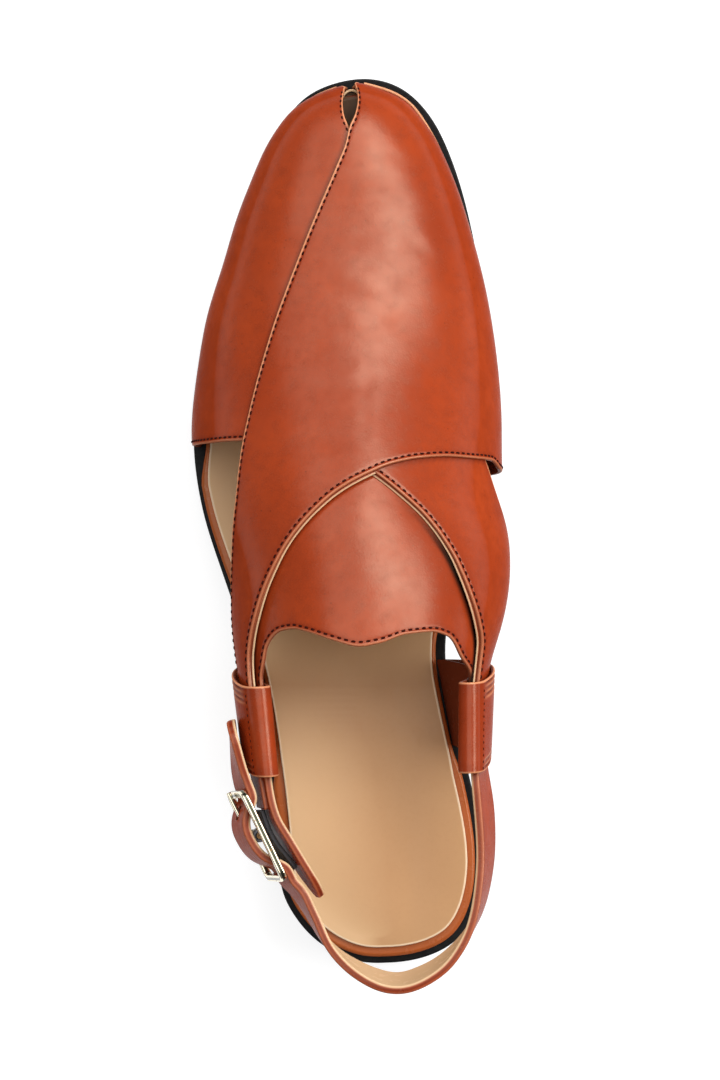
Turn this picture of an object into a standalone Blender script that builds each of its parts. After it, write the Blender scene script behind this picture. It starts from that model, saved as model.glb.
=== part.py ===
"""Left shoe of a pair of peshawari chappals: crossed closed-toe upper with a toe slit, tongue, two side
loops, buckled heel strap, leather insole on an outsole with a stacked heel. The parts table in report.md
names the pieces. +X is medial, +Y is toward the toe, +Z up; the origin is on the floor under the heel.
Tables are in millimetres; MM turns them into metres."""
import math

import bpy
import numpy as np
from mathutils import Vector

MM = 0.001
Y_TIP = 253.4            # toe end of the last
HEEL_H = 20.0            # height of the heel block
SOLE_T = 5.0             # outsole thickness
BOARD_T = 3.8            # wrapped insole board
SOCK_T = 1.0             # footbed
GAP = 0.3                # clearance between pieces that touch
SPRING = 8.6             # toe spring at the tip
UNDER_T = 1.5            # thickness of the under panel
OVER_LIFT = 1.1          # how far the over panel rides up where it lies on the under panel
OVER_T = 1.5             # thickness of the over panel
TONGUE_T = 1.3
TONGUE_GAP = 0.15        # extra clearance over the tongue
TONGUE_SINK = 1.4        # how far its medial side hangs below the panel
LOOP_T = 1.3
STRAP_T, STRAP_H = 2.6, 21.0
BAR = 2.2                # buckle wire
CORNER = 2.4             # bend radius of the frame's corners
PIN = 0.95               # radius of its middle bar
EYE, BORE = 2.05, 1.25   # outer and inner radius of the prong's and the elastic's eyes
PRONG = 1.4              # wire of the prong

COLOURS = {
    "cognac": ((0.42, 0.10, 0.028), 0.0, 0.38),
    "beige": ((0.56, 0.34, 0.19), 0.0, 0.55),
    "black": ((0.012, 0.012, 0.013), 0.0, 0.45),
    "gold": ((0.80, 0.70, 0.45), 1.0, 0.22),
}

# Outline of the outsole, heel centre round the lateral side to the toe and back round the medial side.
#           x,     y
OUTSOLE = ((-3.0, -32.0), (-11.5, -30.6), (-19.2, -26.8), (-25.9, -21.0), (-31.1, -13.5), (-34.1, -4.2),
           (-35.2, 12.0), (-36.6, 32.0), (-38.8, 52.0), (-42.4, 71.0), (-46.9, 86.5), (-51.9, 102.0),
           (-56.2, 117.5), (-58.5, 135.0), (-57.9, 150.0), (-55.6, 165.0), (-51.8, 181.0), (-46.9, 196.0),
           (-41.6, 211.5), (-36.5, 224.0), (-31.8, 234.2), (-26.9, 242.0), (-20.9, 249.2), (-12.4, 254.7),
           (0.5, 257.3), (12.0, 254.9), (20.1, 248.7), (26.5, 239.0), (31.8, 224.9), (35.2, 211.0),
           (37.8, 196.0), (39.5, 180.0), (40.3, 163.0), (39.9, 147.0), (38.0, 129.0), (34.4, 112.0),
           (28.6, 94.0), (23.8, 80.0), (22.1, 68.0), (23.0, 57.0), (26.0, 40.0), (29.0, 25.0),
           (31.2, 11.0), (31.6, -1.0), (30.0, -12.0), (26.0, -21.2), (19.5, -27.4), (9.0, -31.2))

# How far pieces stand in from the edge of the outsole, by y, lateral side then medial side.
#             y,   board,      sock
INSETS_LAT = ((-32.0, 2.6, 5.9), (0.0, 2.0, 5.0), (12.0, 1.2, 4.9), (27.0, 0.9, 4.8), (36.0, 3.3, 4.6),
              (71.0, 3.3, 4.6), (79.0, 1.7, 4.2), (100.0, 1.4, 4.0), (126.0, 1.4, 3.7), (137.0, 4.2, 5.6),
              (150.0, 5.2, 7.0), (215.0, 5.2, 7.0), (248.0, 5.6, 7.0), (258.0, 5.4, 6.6))
INSETS_MED = ((-32.0, 2.6, 5.9), (0.0, 2.4, 4.9), (29.0, 2.2, 5.0), (37.0, 3.3, 4.6), (71.0, 3.3, 4.6),
              (79.0, 2.6, 4.7), (100.0, 2.6, 5.0), (118.0, 3.0, 5.2), (128.0, 5.6, 7.6), (150.0, 6.2, 8.2),
              (215.0, 6.2, 8.2), (248.0, 6.9, 8.2), (258.0, 5.4, 6.6))

#         y,     x,    z      top line of the last
RIDGE = ((253.4, -3.0, 16.0), (251.0, -3.1, 22.0), (247.0, -3.3, 26.0), (240.0, -3.6, 29.9),
         (230.0, -4.0, 33.0), (215.0, -4.6, 36.4), (200.0, -5.2, 39.6), (185.0, -5.6, 43.4),
         (170.0, -6.0, 48.2), (155.0, -6.2, 54.5), (140.0, -6.2, 62.0), (125.0, -6.0, 69.5),
         (110.0, -5.5, 76.2), (95.0, -5.0, 81.5), (75.0, -4.5, 87.0), (60.0, -4.2, 91.0),
         (40.0, -4.0, 96.0), (30.0, -4.0, 98.0))
#           y,     x,     z     widest line of the last, lateral side then medial side
LATERAL = ((253.4, -3.0, 16.0), (252.0, -9.8, 15.7), (249.6, -15.8, 15.3), (246.0, -21.3, 14.7),
           (241.0, -25.8, 14.0), (234.0, -30.4, 13.2), (223.4, -35.4, 12.8), (211.4, -40.4, 13.0),
           (195.7, -45.6, 14.0), (180.6, -50.7, 15.5), (167.3, -53.6, 17.0), (154.0, -55.8, 18.6),
           (139.3, -56.8, 21.0), (125.0, -54.5, 26.0), (110.0, -49.5, 34.0), (95.0, -45.3, 41.5),
           (80.0, -43.8, 46.0), (64.0, -42.0, 49.0), (50.0, -40.1, 50.0), (40.0, -39.1, 50.0),
           (30.0, -38.3, 50.0))
MEDIAL = ((253.4, -3.0, 16.0), (251.3, 6.3, 15.5), (248.7, 12.3, 15.0), (242.7, 18.4, 14.2),
          (237.1, 22.3, 13.5), (228.9, 26.2, 13.0), (218.1, 30.1, 12.8), (203.5, 34.0, 13.5),
          (186.1, 37.7, 15.0), (171.2, 39.7, 16.6), (156.4, 40.8, 18.4), (143.4, 40.9, 21.0),
          (130.3, 40.2, 25.0), (118.0, 40.2, 31.5), (105.0, 41.6, 39.0), (91.0, 41.2, 44.5),
          (77.0, 38.0, 47.5), (65.0, 34.0, 49.0), (50.0, 31.8, 50.0), (40.0, 31.2, 50.0),
          (30.0, 30.6, 50.0))
#          y, lateral x, medial x     foot line of the last on the outsole
FEATHER = ((253.4, -3.0, -3.0), (252.2, -9.2, 3.9), (250.2, -14.2, 9.6), (246.8, -19.8, 14.8),
           (241.6, -24.8, 18.8), (234.0, -29.4, 23.0), (223.0, -34.5, 27.0), (211.0, -39.3, 30.2),
           (195.0, -44.5, 33.6), (180.0, -49.2, 35.8), (167.0, -52.3, 37.0), (154.0, -54.6, 37.4),
           (139.0, -55.8, 36.8), (125.0, -54.0, 34.0), (110.0, -51.0, 30.0), (95.0, -47.5, 26.0),
           (80.0, -44.0, 23.0), (64.0, -41.0, 22.0), (50.0, -39.0, 24.0), (40.0, -38.0, 26.0),
           (30.0, -37.2, 28.0))

# Edges of the upper's panels and of the tongue on the last. round runs from -1 at the lateral foot line
# over 0 at the top line to +1 at the medial foot line.
#        y, round
OVER_SEAM = ((253.38, 1.0), (253.36, 0.75), (252.7, 0.157), (249.6, 0.118), (246.3, 0.094), (242.6, 0.058),
             (238.3, 0.004), (233.1, -0.024), (226.2, -0.077), (215.0, -0.152), (199.6, -0.233),
             (187.5, -0.284), (173.8, -0.331), (158.0, -0.369), (140.2, -0.397), (123.3, -0.431),
             (107.1, -0.500), (90.3, -0.594), (77.0, -0.650), (62.0, -0.665), (43.5, -0.665))
OVER_ARC = ((125.6, 1.0), (125.8, 0.85), (126.8, 0.688), (129.3, 0.600), (129.8, 0.468), (130.3, 0.343),
            (129.8, 0.236), (128.3, 0.138), (125.3, 0.049), (120.9, -0.044), (114.3, -0.137),
            (105.0, -0.239), (97.9, -0.301), (90.6, -0.360), (82.9, -0.414), (75.6, -0.461),
            (69.5, -0.492), (62.1, -0.510), (43.5, -0.520))
UNDER_EDGE = ((253.38, -1.0), (253.36, -0.75), (252.7, -0.145), (249.9, -0.097), (246.8, -0.078),
              (243.0, -0.050), (238.8, 0.0), (232.0, 0.070), (224.0, 0.135), (212.0, 0.215), (198.0, 0.285),
              (180.0, 0.345), (160.0, 0.420), (140.0, 0.510), (123.0, 0.600), (107.0, 0.660),
              (90.0, 0.680), (77.0, 0.680), (62.0, 0.672), (43.5, 0.665))
UNDER_ARC = ((138.3, -1.0), (138.2, -0.85), (138.1, -0.605), (138.2, -0.522), (138.1, -0.452),
             (138.0, -0.403), (137.6, -0.30), (136.2, -0.18), (133.4, -0.08), (130.2, 0.0), (126.0, 0.073),
             (119.7, 0.152), (111.8, 0.231), (100.1, 0.305), (93.2, 0.338), (85.8, 0.377), (78.9, 0.420),
             (71.5, 0.470), (62.0, 0.500), (43.5, 0.520))
TONGUE_FRONT = ((44.0, -0.640), (62.0, -0.640), (80.0, -0.600), (98.0, -0.520), (118.0, -0.400),
                (138.0, -0.230), (148.0, 0.0), (138.0, 0.230), (118.0, 0.400), (98.0, 0.520), (80.0, 0.600),
                (62.0, 0.640), (44.0, 0.640))
TONGUE_REAR = ((44.0, -0.520), (63.2, -0.485), (69.0, -0.446), (73.6, -0.414), (78.6, -0.324), (79.2, -0.264),
               (78.3, -0.207), (75.5, -0.107), (73.5, -0.013), (74.3, 0.054), (76.6, 0.143), (77.0, 0.229),
               (75.2, 0.306), (68.3, 0.390), (61.7, 0.484), (44.0, 0.520))

# Leather middle of each loop, from its inner foot over the fold to its outer foot.
#                  z, x at the rear edge, x at the front edge
LOOP_LATERAL = ((25.8, -35.0, -39.1), (38.0, -35.2, -38.8), (50.0, -35.9, -38.8), (58.0, -35.1, -37.5),
                (65.0, -33.4, -35.3), (69.3, -33.0, -34.6), (71.4, -35.5, -37.5), (69.3, -38.5, -40.9),
                (65.0, -40.4, -43.0), (58.0, -42.5, -45.0), (50.0, -43.2, -46.0), (41.0, -41.8, -45.2),
                (32.0, -38.3, -42.2), (25.8, -36.6, -40.7))
LOOP_MEDIAL = ((25.8, 23.9, 19.7), (38.0, 26.2, 25.2), (50.0, 28.1, 30.1), (58.0, 27.2, 28.8),
               (65.0, 25.2, 26.6), (69.3, 24.4, 25.4), (71.4, 27.2, 28.0), (69.3, 30.1, 31.0),
               (65.0, 31.7, 32.9), (58.0, 33.3, 35.1), (50.0, 34.2, 36.3), (41.0, 33.8, 34.8),
               (32.0, 29.4, 26.8), (25.8, 25.5, 21.3))
LOOP_LENGTH = 28.2       # along y
LOOP_REAR = {"loop_lateral": 33.2, "loop_medial": 32.3}
LOOP_RAKE = 5.6          # how far the foot of a loop stands forward of its fold

# Middle of the top edge of each strap; lean is how far its top tips inward, in degrees.
#                 x,     y,     z,   lean
HEEL_STRAP = ((28.6, 42.0, 66.6, 9.0), (28.7, 31.0, 68.2, 11.0), (29.1, 21.9, 70.2, 13.0),
              (29.4, 13.8, 71.6, 13.0), (29.3, 5.6, 73.0, 12.0), (28.4, -2.5, 74.4, 10.5),
              (26.8, -10.5, 75.7, 8.0), (24.3, -17.3, 76.8, 4.5), (21.2, -22.4, 77.6, 1.0),
              (17.8, -26.3, 78.2, -1.5), (13.6, -29.4, 78.6, -3.0), (9.4, -31.5, 78.9, -4.0),
              (5.2, -32.7, 79.0, -4.0), (1.1, -32.8, 79.0, -4.0), (-2.9, -31.9, 78.7, -4.0),
              (-6.9, -30.0, 78.2, -3.0), (-11.0, -27.2, 77.4, -1.0), (-14.9, -23.5, 76.4, 2.0),
              (-18.4, -18.6, 75.2, 5.0), (-21.3, -11.8, 73.6, 8.0), (-23.6, -6.5, 72.2, 10.5),
              (-26.0, -1.9, 70.9, 13.0))
# The same strap on through the buckle: along the frame from its rear bar, and out of the frame's plane.
WEAVE = ((-2.4, -2.9), (0.0, -2.8), (2.4, -2.4), (5.2, -0.2), (8.2, 2.2), (11.2, 3.3), (14.4, 3.7), (17.6, 3.6),
         (20.6, 2.6), (23.4, 0.3), (26.0, -2.3), (28.8, -2.9))
STRAP_IN_FRAME = 1.9     # how far the strap's top edge lies below the middle of the frame's top bar
STRAP_END = ((-42.6, 34.6, 70.2, 11.0), (-44.5, 42.0, 71.2, 6.0), (-46.8, 50.8, 72.0, 0.0))
TAB = ((-36.9, 41.5, 66.4, 13.0), (-35.6, 34.0, 67.8, 13.0), (-34.3, 25.0, 69.4, 12.0),
       (-32.6, 19.6, 70.0, 12.0), (-29.8, 14.5, 70.0, 12.0), (-26.0, 7.7, 70.0, 12.0),
       (-22.0, 0.7, 69.6, 11.0), (-18.9, -4.8, 69.0, 10.0))
TAB_H, TAB_T = 19.0, 2.3
TAB_COVER = ((-38.4, 41.5, 64.4, 13.0), (-37.6, 34.0, 66.0, 13.0), (-36.6, 28.0, 67.0, 12.0),
             (-35.9, 23.0, 67.6, 12.0))
ELASTIC = ((-37.6, 22.4, 65.0, 14.0), (-35.6, 16.3, 65.0, 14.0), (-33.0, 11.4, 65.0, 14.0),
           (-30.2, 7.6, 65.0, 14.0), (-27.9, 4.1, 64.8, 13.0))
ELASTIC_H, ELASTIC_T = 13.0, 1.5

# Buckle frame: rear top corner, front top corner in plan, height of its top bar, outer size, lean in degrees.
FRAME_REAR, FRAME_FRONT = (-31.5, 2.1), (-43.0, 28.5)
FRAME_TOP, FRAME_HIGH, FRAME_LEAN = 72.4, 27.4, 13.5
LENGTH, HIGH = math.dist(FRAME_REAR, FRAME_FRONT), FRAME_HIGH - BAR      # between the middles of its bars
MID_A, MID_H = LENGTH / 2, HIGH / 2
PRONG_EYE, PRONG_PAST, PRONG_OUT = 2.2, 1.6, 2.2     # height of its eye, reach past the front bar, lift over it
SLOT_W, SLOT_H = 3.4, 2.6
WEB_W, WEB_H = 2.4, 3.4                              # joins of the elastic with its eyes


def smooth(a, b, x):
    u = np.clip((np.asarray(x, float) - a) / (b - a), 0, 1)
    return u * u * (3 - 2 * u)


def spline(xs, ys):
    """Natural cubic curve through the points, as a function."""
    xs, ys = np.array(xs, float), np.array(ys, float)
    n, h = len(xs), np.diff(xs)
    lhs, rhs = np.eye(n), np.zeros(n)
    for i in range(1, n - 1):
        lhs[i, i - 1:i + 2] = h[i - 1], 2 * (h[i - 1] + h[i]), h[i]
        rhs[i] = 6 * ((ys[i + 1] - ys[i]) / h[i] - (ys[i] - ys[i - 1]) / h[i - 1])
    m = np.linalg.solve(lhs, rhs)

    def at(x):
        x = np.asarray(x, float)
        i = np.clip(np.searchsorted(xs, x) - 1, 0, n - 2)
        a, b = (xs[i + 1] - x) / h[i], (x - xs[i]) / h[i]
        return (a * ys[i] + b * ys[i + 1]
                + ((a ** 3 - a) * m[i] + (b ** 3 - b) * m[i + 1]) * h[i] ** 2 / 6)
    return at


def lengths(points):
    """Distance along a run of points, from 0 to 1."""
    steps = np.linalg.norm(np.diff(np.asarray(points, float), axis=0), axis=1)
    total = np.concatenate([[0.0], np.cumsum(steps)])
    return total / total[-1]


def through(points, count):
    """Points along the smooth curve through the given ones, every column with it: evenly, or at shares."""
    shares = np.linspace(0, 1, count) if isinstance(count, int) else np.asarray(count)
    points = np.array(points, float)
    d = lengths(points[:, :3])
    fine = np.stack([spline(d, points[:, k])(np.linspace(0, 1, 400)) for k in range(points.shape[1])], 1)
    d = lengths(fine[:, :3])
    return np.stack([np.interp(shares, d, fine[:, k]) for k in range(points.shape[1])], 1)


# ---- collections, materials, meshes ----

def material(name):
    colour, metal, rough = COLOURS[name]
    mat = bpy.data.materials.new(name)
    mat.use_nodes = True
    mat.diffuse_color = (*colour, 1.0)
    node = mat.node_tree.nodes["Principled BSDF"]
    node.inputs["Base Color"].default_value = (*colour, 1.0)
    node.inputs["Metallic"].default_value = metal
    node.inputs["Roughness"].default_value = rough
    return mat


def add(name, verts, faces, mat, cutter=False, angle=35.0):
    """One object from points in millimetres; its faces are turned outward."""
    mesh = bpy.data.meshes.new(name)
    mesh.from_pydata([tuple(float(c) * MM for c in v) for v in verts], [], [tuple(f) for f in faces])
    mesh.validate()
    volume = sum(Vector(mesh.vertices[t.vertices[0]].co).dot(
        Vector(mesh.vertices[t.vertices[1]].co).cross(mesh.vertices[t.vertices[2]].co))
        for t in mesh.loop_triangles)
    if volume < 0:
        mesh.flip_normals()
    mesh.materials.append(MATS[mat])
    mesh.shade_smooth()
    mesh.set_sharp_from_angle(angle=math.radians(angle))
    obj = bpy.data.objects.new(name, mesh)
    (CUTTERS if cutter else SHOE).objects.link(obj)
    if cutter:
        obj.hide_render = True
        obj.display_type = "WIRE"
    return obj


def boolean(obj, other, operation):
    mod = obj.modifiers.new(operation.title() + "_" + other.name, "BOOLEAN")
    mod.operation = operation
    mod.solver = "EXACT"
    mod.object = other
    return obj


def sweep(name, rings, mat, closed=False, **kw):
    """Solid from section loops set one after another; open runs get end caps."""
    n, m = len(rings), len(rings[0])
    verts = [p for ring in rings for p in ring]
    faces = []
    for i in range(n if closed else n - 1):
        a, b = i * m, ((i + 1) % n) * m
        faces += [(a + j, a + (j + 1) % m, b + (j + 1) % m, b + j) for j in range(m)]
    if not closed:
        faces += [tuple(reversed(range(m))), tuple((n - 1) * m + j for j in range(m))]
    return add(name, verts, faces, mat, **kw)


def sheet_solid(name, outer, inner, mat, **kw):
    """Solid between two grids of points."""
    nu, nv = outer.shape[:2]
    verts = list(outer.reshape(-1, 3)) + list(inner.reshape(-1, 3))
    k = nu * nv
    faces = []
    for i in range(nu - 1):
        for j in range(nv - 1):
            a, b, c, d = i * nv + j, (i + 1) * nv + j, (i + 1) * nv + j + 1, i * nv + j + 1
            faces += [(a, b, c, d), (k + d, k + c, k + b, k + a)]
    rim = ([(i, 0) for i in range(nu)] + [(nu - 1, j) for j in range(1, nv)]
           + [(i, nv - 1) for i in range(nu - 2, -1, -1)] + [(0, j) for j in range(nv - 2, 0, -1)])
    rim = [i * nv + j for i, j in rim]
    for a, b in zip(rim, rim[1:] + rim[:1]):
        faces.append((b, a, k + a, k + b))
    return add(name, verts, faces, mat, **kw)


# ---- bottom: outsole, heel, board, footbed ----

def sole_z(y):
    """Underside of the outsole: flat heel seat, shank, flat forefoot, toe spring."""
    y = np.asarray(y, float)
    toe = np.clip(y - 193.0, 0, None)
    return SPRING * (toe / 64.3) ** 2 + HEEL_H * (1 - smooth(43.0, 142.0, y))


def outline():
    """Lateral and medial halves of the outsole's edge from heel to toe, with their inward normals."""
    pts = np.array(OUTSOLE)
    k, tip = len(pts), int(np.argmax(pts[:, 1]))
    wrap = np.concatenate([pts[-6:], pts, pts[:7]])
    s = np.arange(-6, k + 7)
    fx, fy = spline(s, wrap[:, 0]), spline(s, wrap[:, 1])

    def half(a, b):
        u = np.linspace(a, b, 800)
        y = fy(u)
        share = (1 - np.cos(np.linspace(0, math.pi, SOLE_STEPS + 1))) / 2
        u = np.interp(share, (y - y[0]) / (y[-1] - y[0]), u)
        p = np.stack([fx(u), fy(u)], 1)
        t = np.stack([fx(u + 0.01) - fx(u - 0.01), fy(u + 0.01) - fy(u - 0.01)], 1)
        t /= np.linalg.norm(t, axis=1)[:, None]
        return p, np.stack([t[:, 1], -t[:, 0]], 1)
    lat, lat_n = half(0, tip)
    med, med_n = half(k, tip)
    return lat, lat_n, med, med_n


def slab(name, column, low, high, mat, edge=0.5, stop=None, **kw):
    """Plan-shaped layer: inset by a column of INSETS, between two heights given by y."""
    lat, lat_n, med, med_n = outline()
    il = np.array(INSETS_LAT)
    im = np.array(INSETS_MED)

    def ring(extra):
        a = np.interp(lat[:, 1], il[:, 0], il[:, column]) if column else np.zeros(len(lat))
        b = np.interp(med[:, 1], im[:, 0], im[:, column]) if column else np.zeros(len(med))
        a[0] = b[0] = (a[0] + b[0]) / 2
        a[-1] = b[-1] = (a[-1] + b[-1]) / 2
        p = lat + lat_n * (a + extra)[:, None]
        q = med + med_n * (b + extra)[:, None]
        if stop is not None:
            keep = int(np.sum(lat[:, 1] < stop))
            p, q = p[:keep + 1].copy(), q[:keep + 1].copy()
            for line in (p, q):
                f = (stop - line[-2, 1]) / (line[-1, 1] - line[-2, 1])
                line[-1] = line[-2] + f * (line[-1] - line[-2])
                line[-1, 1] -= extra
        return p, q
    rows = []
    for extra, z, up in ((edge, low, 0.0), (0.0, low, edge), (0.0, high, -edge), (edge, high, 0.0)):
        p, q = ring(extra)
        if stop is None:
            loop = np.concatenate([p, q[-2:0:-1]])
        else:
            loop = np.concatenate([p, q[:0:-1]])
        rows.append(np.column_stack([loop, z(loop[:, 1]) + up]))
    m = len(rows[0])
    n = len(p)
    verts = [v for row in rows for v in row]
    faces = [(r * m + j, r * m + (j + 1) % m, (r + 1) * m + (j + 1) % m, (r + 1) * m + j)
             for r in range(3) for j in range(m)]
    for base, turn in ((0, False), (3 * m, True)):
        for i in range(n - 1):
            a, b = i, i + 1
            c, d = (m - i) % m, m - i - 1
            f = [a, b, d, c] if a != c else [a, b, d]
            if b == d:
                f = [a, b, c]
            f = [base + v for v in f]
            faces.append(tuple(f if turn else f[::-1]))
    return add(name, verts, faces, mat, **kw)


# ---- the last, and pieces laid over it ----

def root(y):
    return np.sqrt(np.clip(Y_TIP - np.asarray(y, float), 0, None))


def columns(table):
    rows = np.array(table)
    return [spline(root(rows[:, 0]), rows[:, k]) for k in range(1, rows.shape[1])]


def section(y, side):
    """Points of the last's outline at y from its top line to its foot line, and their share of the way."""
    s, n = root(y), 1.9 + 0.35 * float(smooth(150, 220, y))
    xt, zt = RIDGE_X(s), RIDGE_Z(s)
    xb, zb = (LAT_X(s), LAT_Z(s)) if side < 0 else (MED_X(s), MED_Z(s))
    xf = FOOT_L(s) if side < 0 else FOOT_M(s)
    zf = min(float(sole_z(y)) + SOLE_T + GAP, zb - 1.0)
    a, q = np.linspace(0, math.pi / 2, 33), np.linspace(0, 1, 13)[1:]
    top = np.stack([xt + (xb - xt) * np.sin(a) ** (2 / n), zb + (zt - zb) * np.cos(a) ** (2 / n)], 1)
    low = np.stack([xb - (xb - xf) * q ** 2, zb - (zb - zf) * q], 1)
    line = np.concatenate([top, low])
    return line, lengths(line)


def last(y, t):
    line, d = section(y, -1 if t < 0 else 1)
    return np.array([np.interp(abs(t), d, line[:, 0]), float(y), np.interp(abs(t), d, line[:, 1])])


def on_last(y, t, off):
    """Point at distance off outside the last."""
    e, h = 0.02, min(0.05, max((Y_TIP - y) * 0.4, 1e-4))
    du = last(y, t + e) - last(y, t - e)
    dv = last(y + h, t) - last(y - h, t)
    n = np.cross(du, dv)
    p = last(y, t) + off * n / np.linalg.norm(n)
    if abs(t) > 0.93:
        p[2] = max(p[2], float(sole_z(p[1])) + SOLE_T + GAP)
    return p


def pchip(xs, ys):
    """Cubic curve through the points that never overshoots them."""
    xs, ys = np.array(xs, float), np.array(ys, float)
    h, slope = np.diff(xs), np.diff(ys) / np.diff(xs)
    m = np.zeros(len(xs))
    m[0], m[-1] = slope[0], slope[-1]
    for i in range(1, len(xs) - 1):
        if slope[i - 1] * slope[i] > 0:
            w1, w2 = 2 * h[i] + h[i - 1], h[i] + 2 * h[i - 1]
            m[i] = (w1 + w2) / (w1 / slope[i - 1] + w2 / slope[i])

    def at(x):
        i = np.clip(np.searchsorted(xs, x) - 1, 0, len(xs) - 2)
        u = (x - xs[i]) / h[i]
        return ((1 + 2 * u) * (1 - u) ** 2 * ys[i] + u * (1 - u) ** 2 * h[i] * m[i]
                + u * u * (3 - 2 * u) * ys[i + 1] + u * u * (u - 1) * h[i] * m[i + 1])
    return at


def edge(table):
    """Curve along an edge table, as a function of its share of the way, giving (root of y, round)."""
    rows = np.array(table)
    d = lengths([last(y, t) for y, t in table])
    d = (d + np.arange(len(d)) * 1e-6) / (1 + (len(d) - 1) * 1e-6)
    along, turn = pchip(d, root(rows[:, 0])), pchip(d, rows[:, 1])
    return lambda u: np.stack([along(np.asarray(u, float)), turn(np.asarray(u, float))], -1)


def panel(name, first, second, nu, nv, offsets, mat, crowd=1.0, **kw):
    """Sheet over the last between two edge tables, whose first ends and last ends are joined straight;
    crowd above 1 draws its rows toward the first ends."""
    a, b = edge(first), edge(second)
    us, ws = np.linspace(0, 1, nu) ** crowd, np.linspace(0, 1, nv)
    c = np.stack([a(0.0) + (b(0.0) - a(0.0)) * w for w in ws])
    d0, d1 = a(1.0), b(1.0)
    outer, inner = np.zeros((nu, nv, 3)), np.zeros((nu, nv, 3))
    for i, u in enumerate(us):
        pa, pb = a(u), b(u)
        for j, w in enumerate(ws):
            p = ((1 - w) * pa + w * pb + (1 - u) * c[j] + u * (d0 + (d1 - d0) * w)
                 - (1 - u) * (1 - w) * c[0] - (1 - u) * w * c[-1] - u * (1 - w) * d0 - u * w * d1)
            y, t = Y_TIP - p[0] ** 2, float(np.clip(p[1], -1, 1))
            lo, hi = offsets(y, t)
            inner[i, j], outer[i, j] = on_last(y, t, lo), on_last(y, t, hi)
    return sheet_solid(name, outer, inner, mat, **kw)


def over_offsets(y, t):
    """The over panel rides on the under panel and comes down on the last toward its own foot line."""
    start = 0.65 - 0.53 * float(np.clip((y - 123.0) / 112.0, 0, 1))
    lift = OVER_LIFT * (1 - 0.8 * float(smooth(start, 1.0, t)))
    return lift, lift + OVER_T


def tongue_offsets(y, t):
    """The tongue lies just under the panels, and its medial side sinks away from the under panel's edge."""
    sunk = smooth(0.2, 0.5, t) * smooth(112.0, 90.0, y) * smooth(66.0, 84.0, y)
    top = -GAP - TONGUE_GAP - TONGUE_SINK * float(sunk)
    return top - TONGUE_T, top


def loop(name, table):
    """Band of leather folded into a loop: its middle line at several stations, thickened both ways."""
    rings = []
    for v in np.linspace(0, 1, 5):
        y0 = LOOP_REAR[name] + LOOP_LENGTH * v
        pts = np.array([(xr + (xf - xr) * v, y0 + LOOP_RAKE * float(smooth(72.0, 30.0, z)), z)
                        for z, xr, xf in table])
        mid = through(pts, 30)
        t = np.gradient(mid[:, [0, 2]], axis=0)
        t /= np.linalg.norm(t, axis=1)[:, None]
        n = np.stack([t[:, 1], np.zeros(len(t)), -t[:, 0]], 1)
        rings.append(np.concatenate([mid + n * LOOP_T / 2, (mid - n * LOOP_T / 2)[::-1]]))
    return rings


def headed(table, sign=1.0):
    """The rows with the plan direction that faces away from the foot added."""
    p = np.array(table, float)
    t = np.gradient(p[:, :2], axis=0)
    t /= np.linalg.norm(t, axis=1)[:, None]
    return np.column_stack([p, -t[:, 1] * sign, t[:, 0] * sign])


def band(rows, count, height, thick, chamfer=0.45, tip=False, tip_len=7.0):
    """Section loops of a strap standing on edge along headed rows; tip rounds its last end."""
    p = through(rows, count)
    t = np.gradient(p[:, :3], axis=0)
    d = np.concatenate([[0.0], np.cumsum(np.linalg.norm(np.diff(p[:, :3], axis=0), axis=1))])
    rings = []
    for k in range(len(p)):
        a = math.radians(p[k, 3])
        n = np.array([p[k, 4], p[k, 5], 0.0]) / math.hypot(p[k, 4], p[k, 5])
        down = n * math.sin(a) - np.array([0, 0, math.cos(a)])
        wide = np.cross(down, t[k])
        wide /= np.linalg.norm(wide) * (1 if np.dot(wide, n) > 0 else -1)
        h = height / 2
        if tip and d[-1] - d[k] < tip_len:
            f = 1 - (d[-1] - d[k]) / tip_len
            h = max(h * math.sqrt(1 - f * f), 2.0)
        mid = p[k, :3] + down * height / 2
        c, w = chamfer, thick / 2
        rings.append([mid + down * y + wide * x for x, y in
                      ((w, -h + c), (w, h - c), (w - c, h), (-w + c, h),
                       (-w, h - c), (-w, -h + c), (-w + c, -h), (w - c, -h))])
    return rings


def frame_point(a, h, o):
    """Point by distance along the buckle from its rear bar, down from its top bar, and out of its plane."""
    rear, front = np.array([*FRAME_REAR, FRAME_TOP]), np.array([*FRAME_FRONT, FRAME_TOP])
    ax = (front - rear) / np.linalg.norm(front - rear)
    side, lean = np.array([-ax[1], ax[0], 0.0]), math.radians(FRAME_LEAN)
    up = np.array([0.0, 0.0, 1.0])
    return (rear + ax * a + (side * math.sin(lean) - up * math.cos(lean)) * h
            + (side * math.cos(lean) + up * math.sin(lean)) * o)


def bar(name, points, width, thick, mat, closed=False, bevel=0.45, **kw):
    """Flat-sided bevelled bar along points given in the buckle's plane (along, down, out)."""
    pts = np.array(points, float)
    n = len(pts)
    rings = []
    for i in range(n):
        t = pts[(i + 1) % n] - pts[i - 1] if closed else pts[min(i + 1, n - 1)] - pts[max(i - 1, 0)]
        t = t / np.linalg.norm(t)
        x = np.cross(t, PRONG_SIDE if name == "buckle_prong" else (0, 0, 1.0))
        x /= np.linalg.norm(x)
        y = np.cross(x, t)
        w, h, c = width / 2, thick / 2, bevel
        rings.append([frame_point(*(pts[i] + x * u + y * v)) for u, v in
                      ((w, -h + c), (w, h - c), (w - c, h), (-w + c, h),
                       (-w, h - c), (-w, -h + c), (-w + c, -h), (w - c, -h))])
    return sweep(name, rings, mat, closed=closed, **kw)


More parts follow.
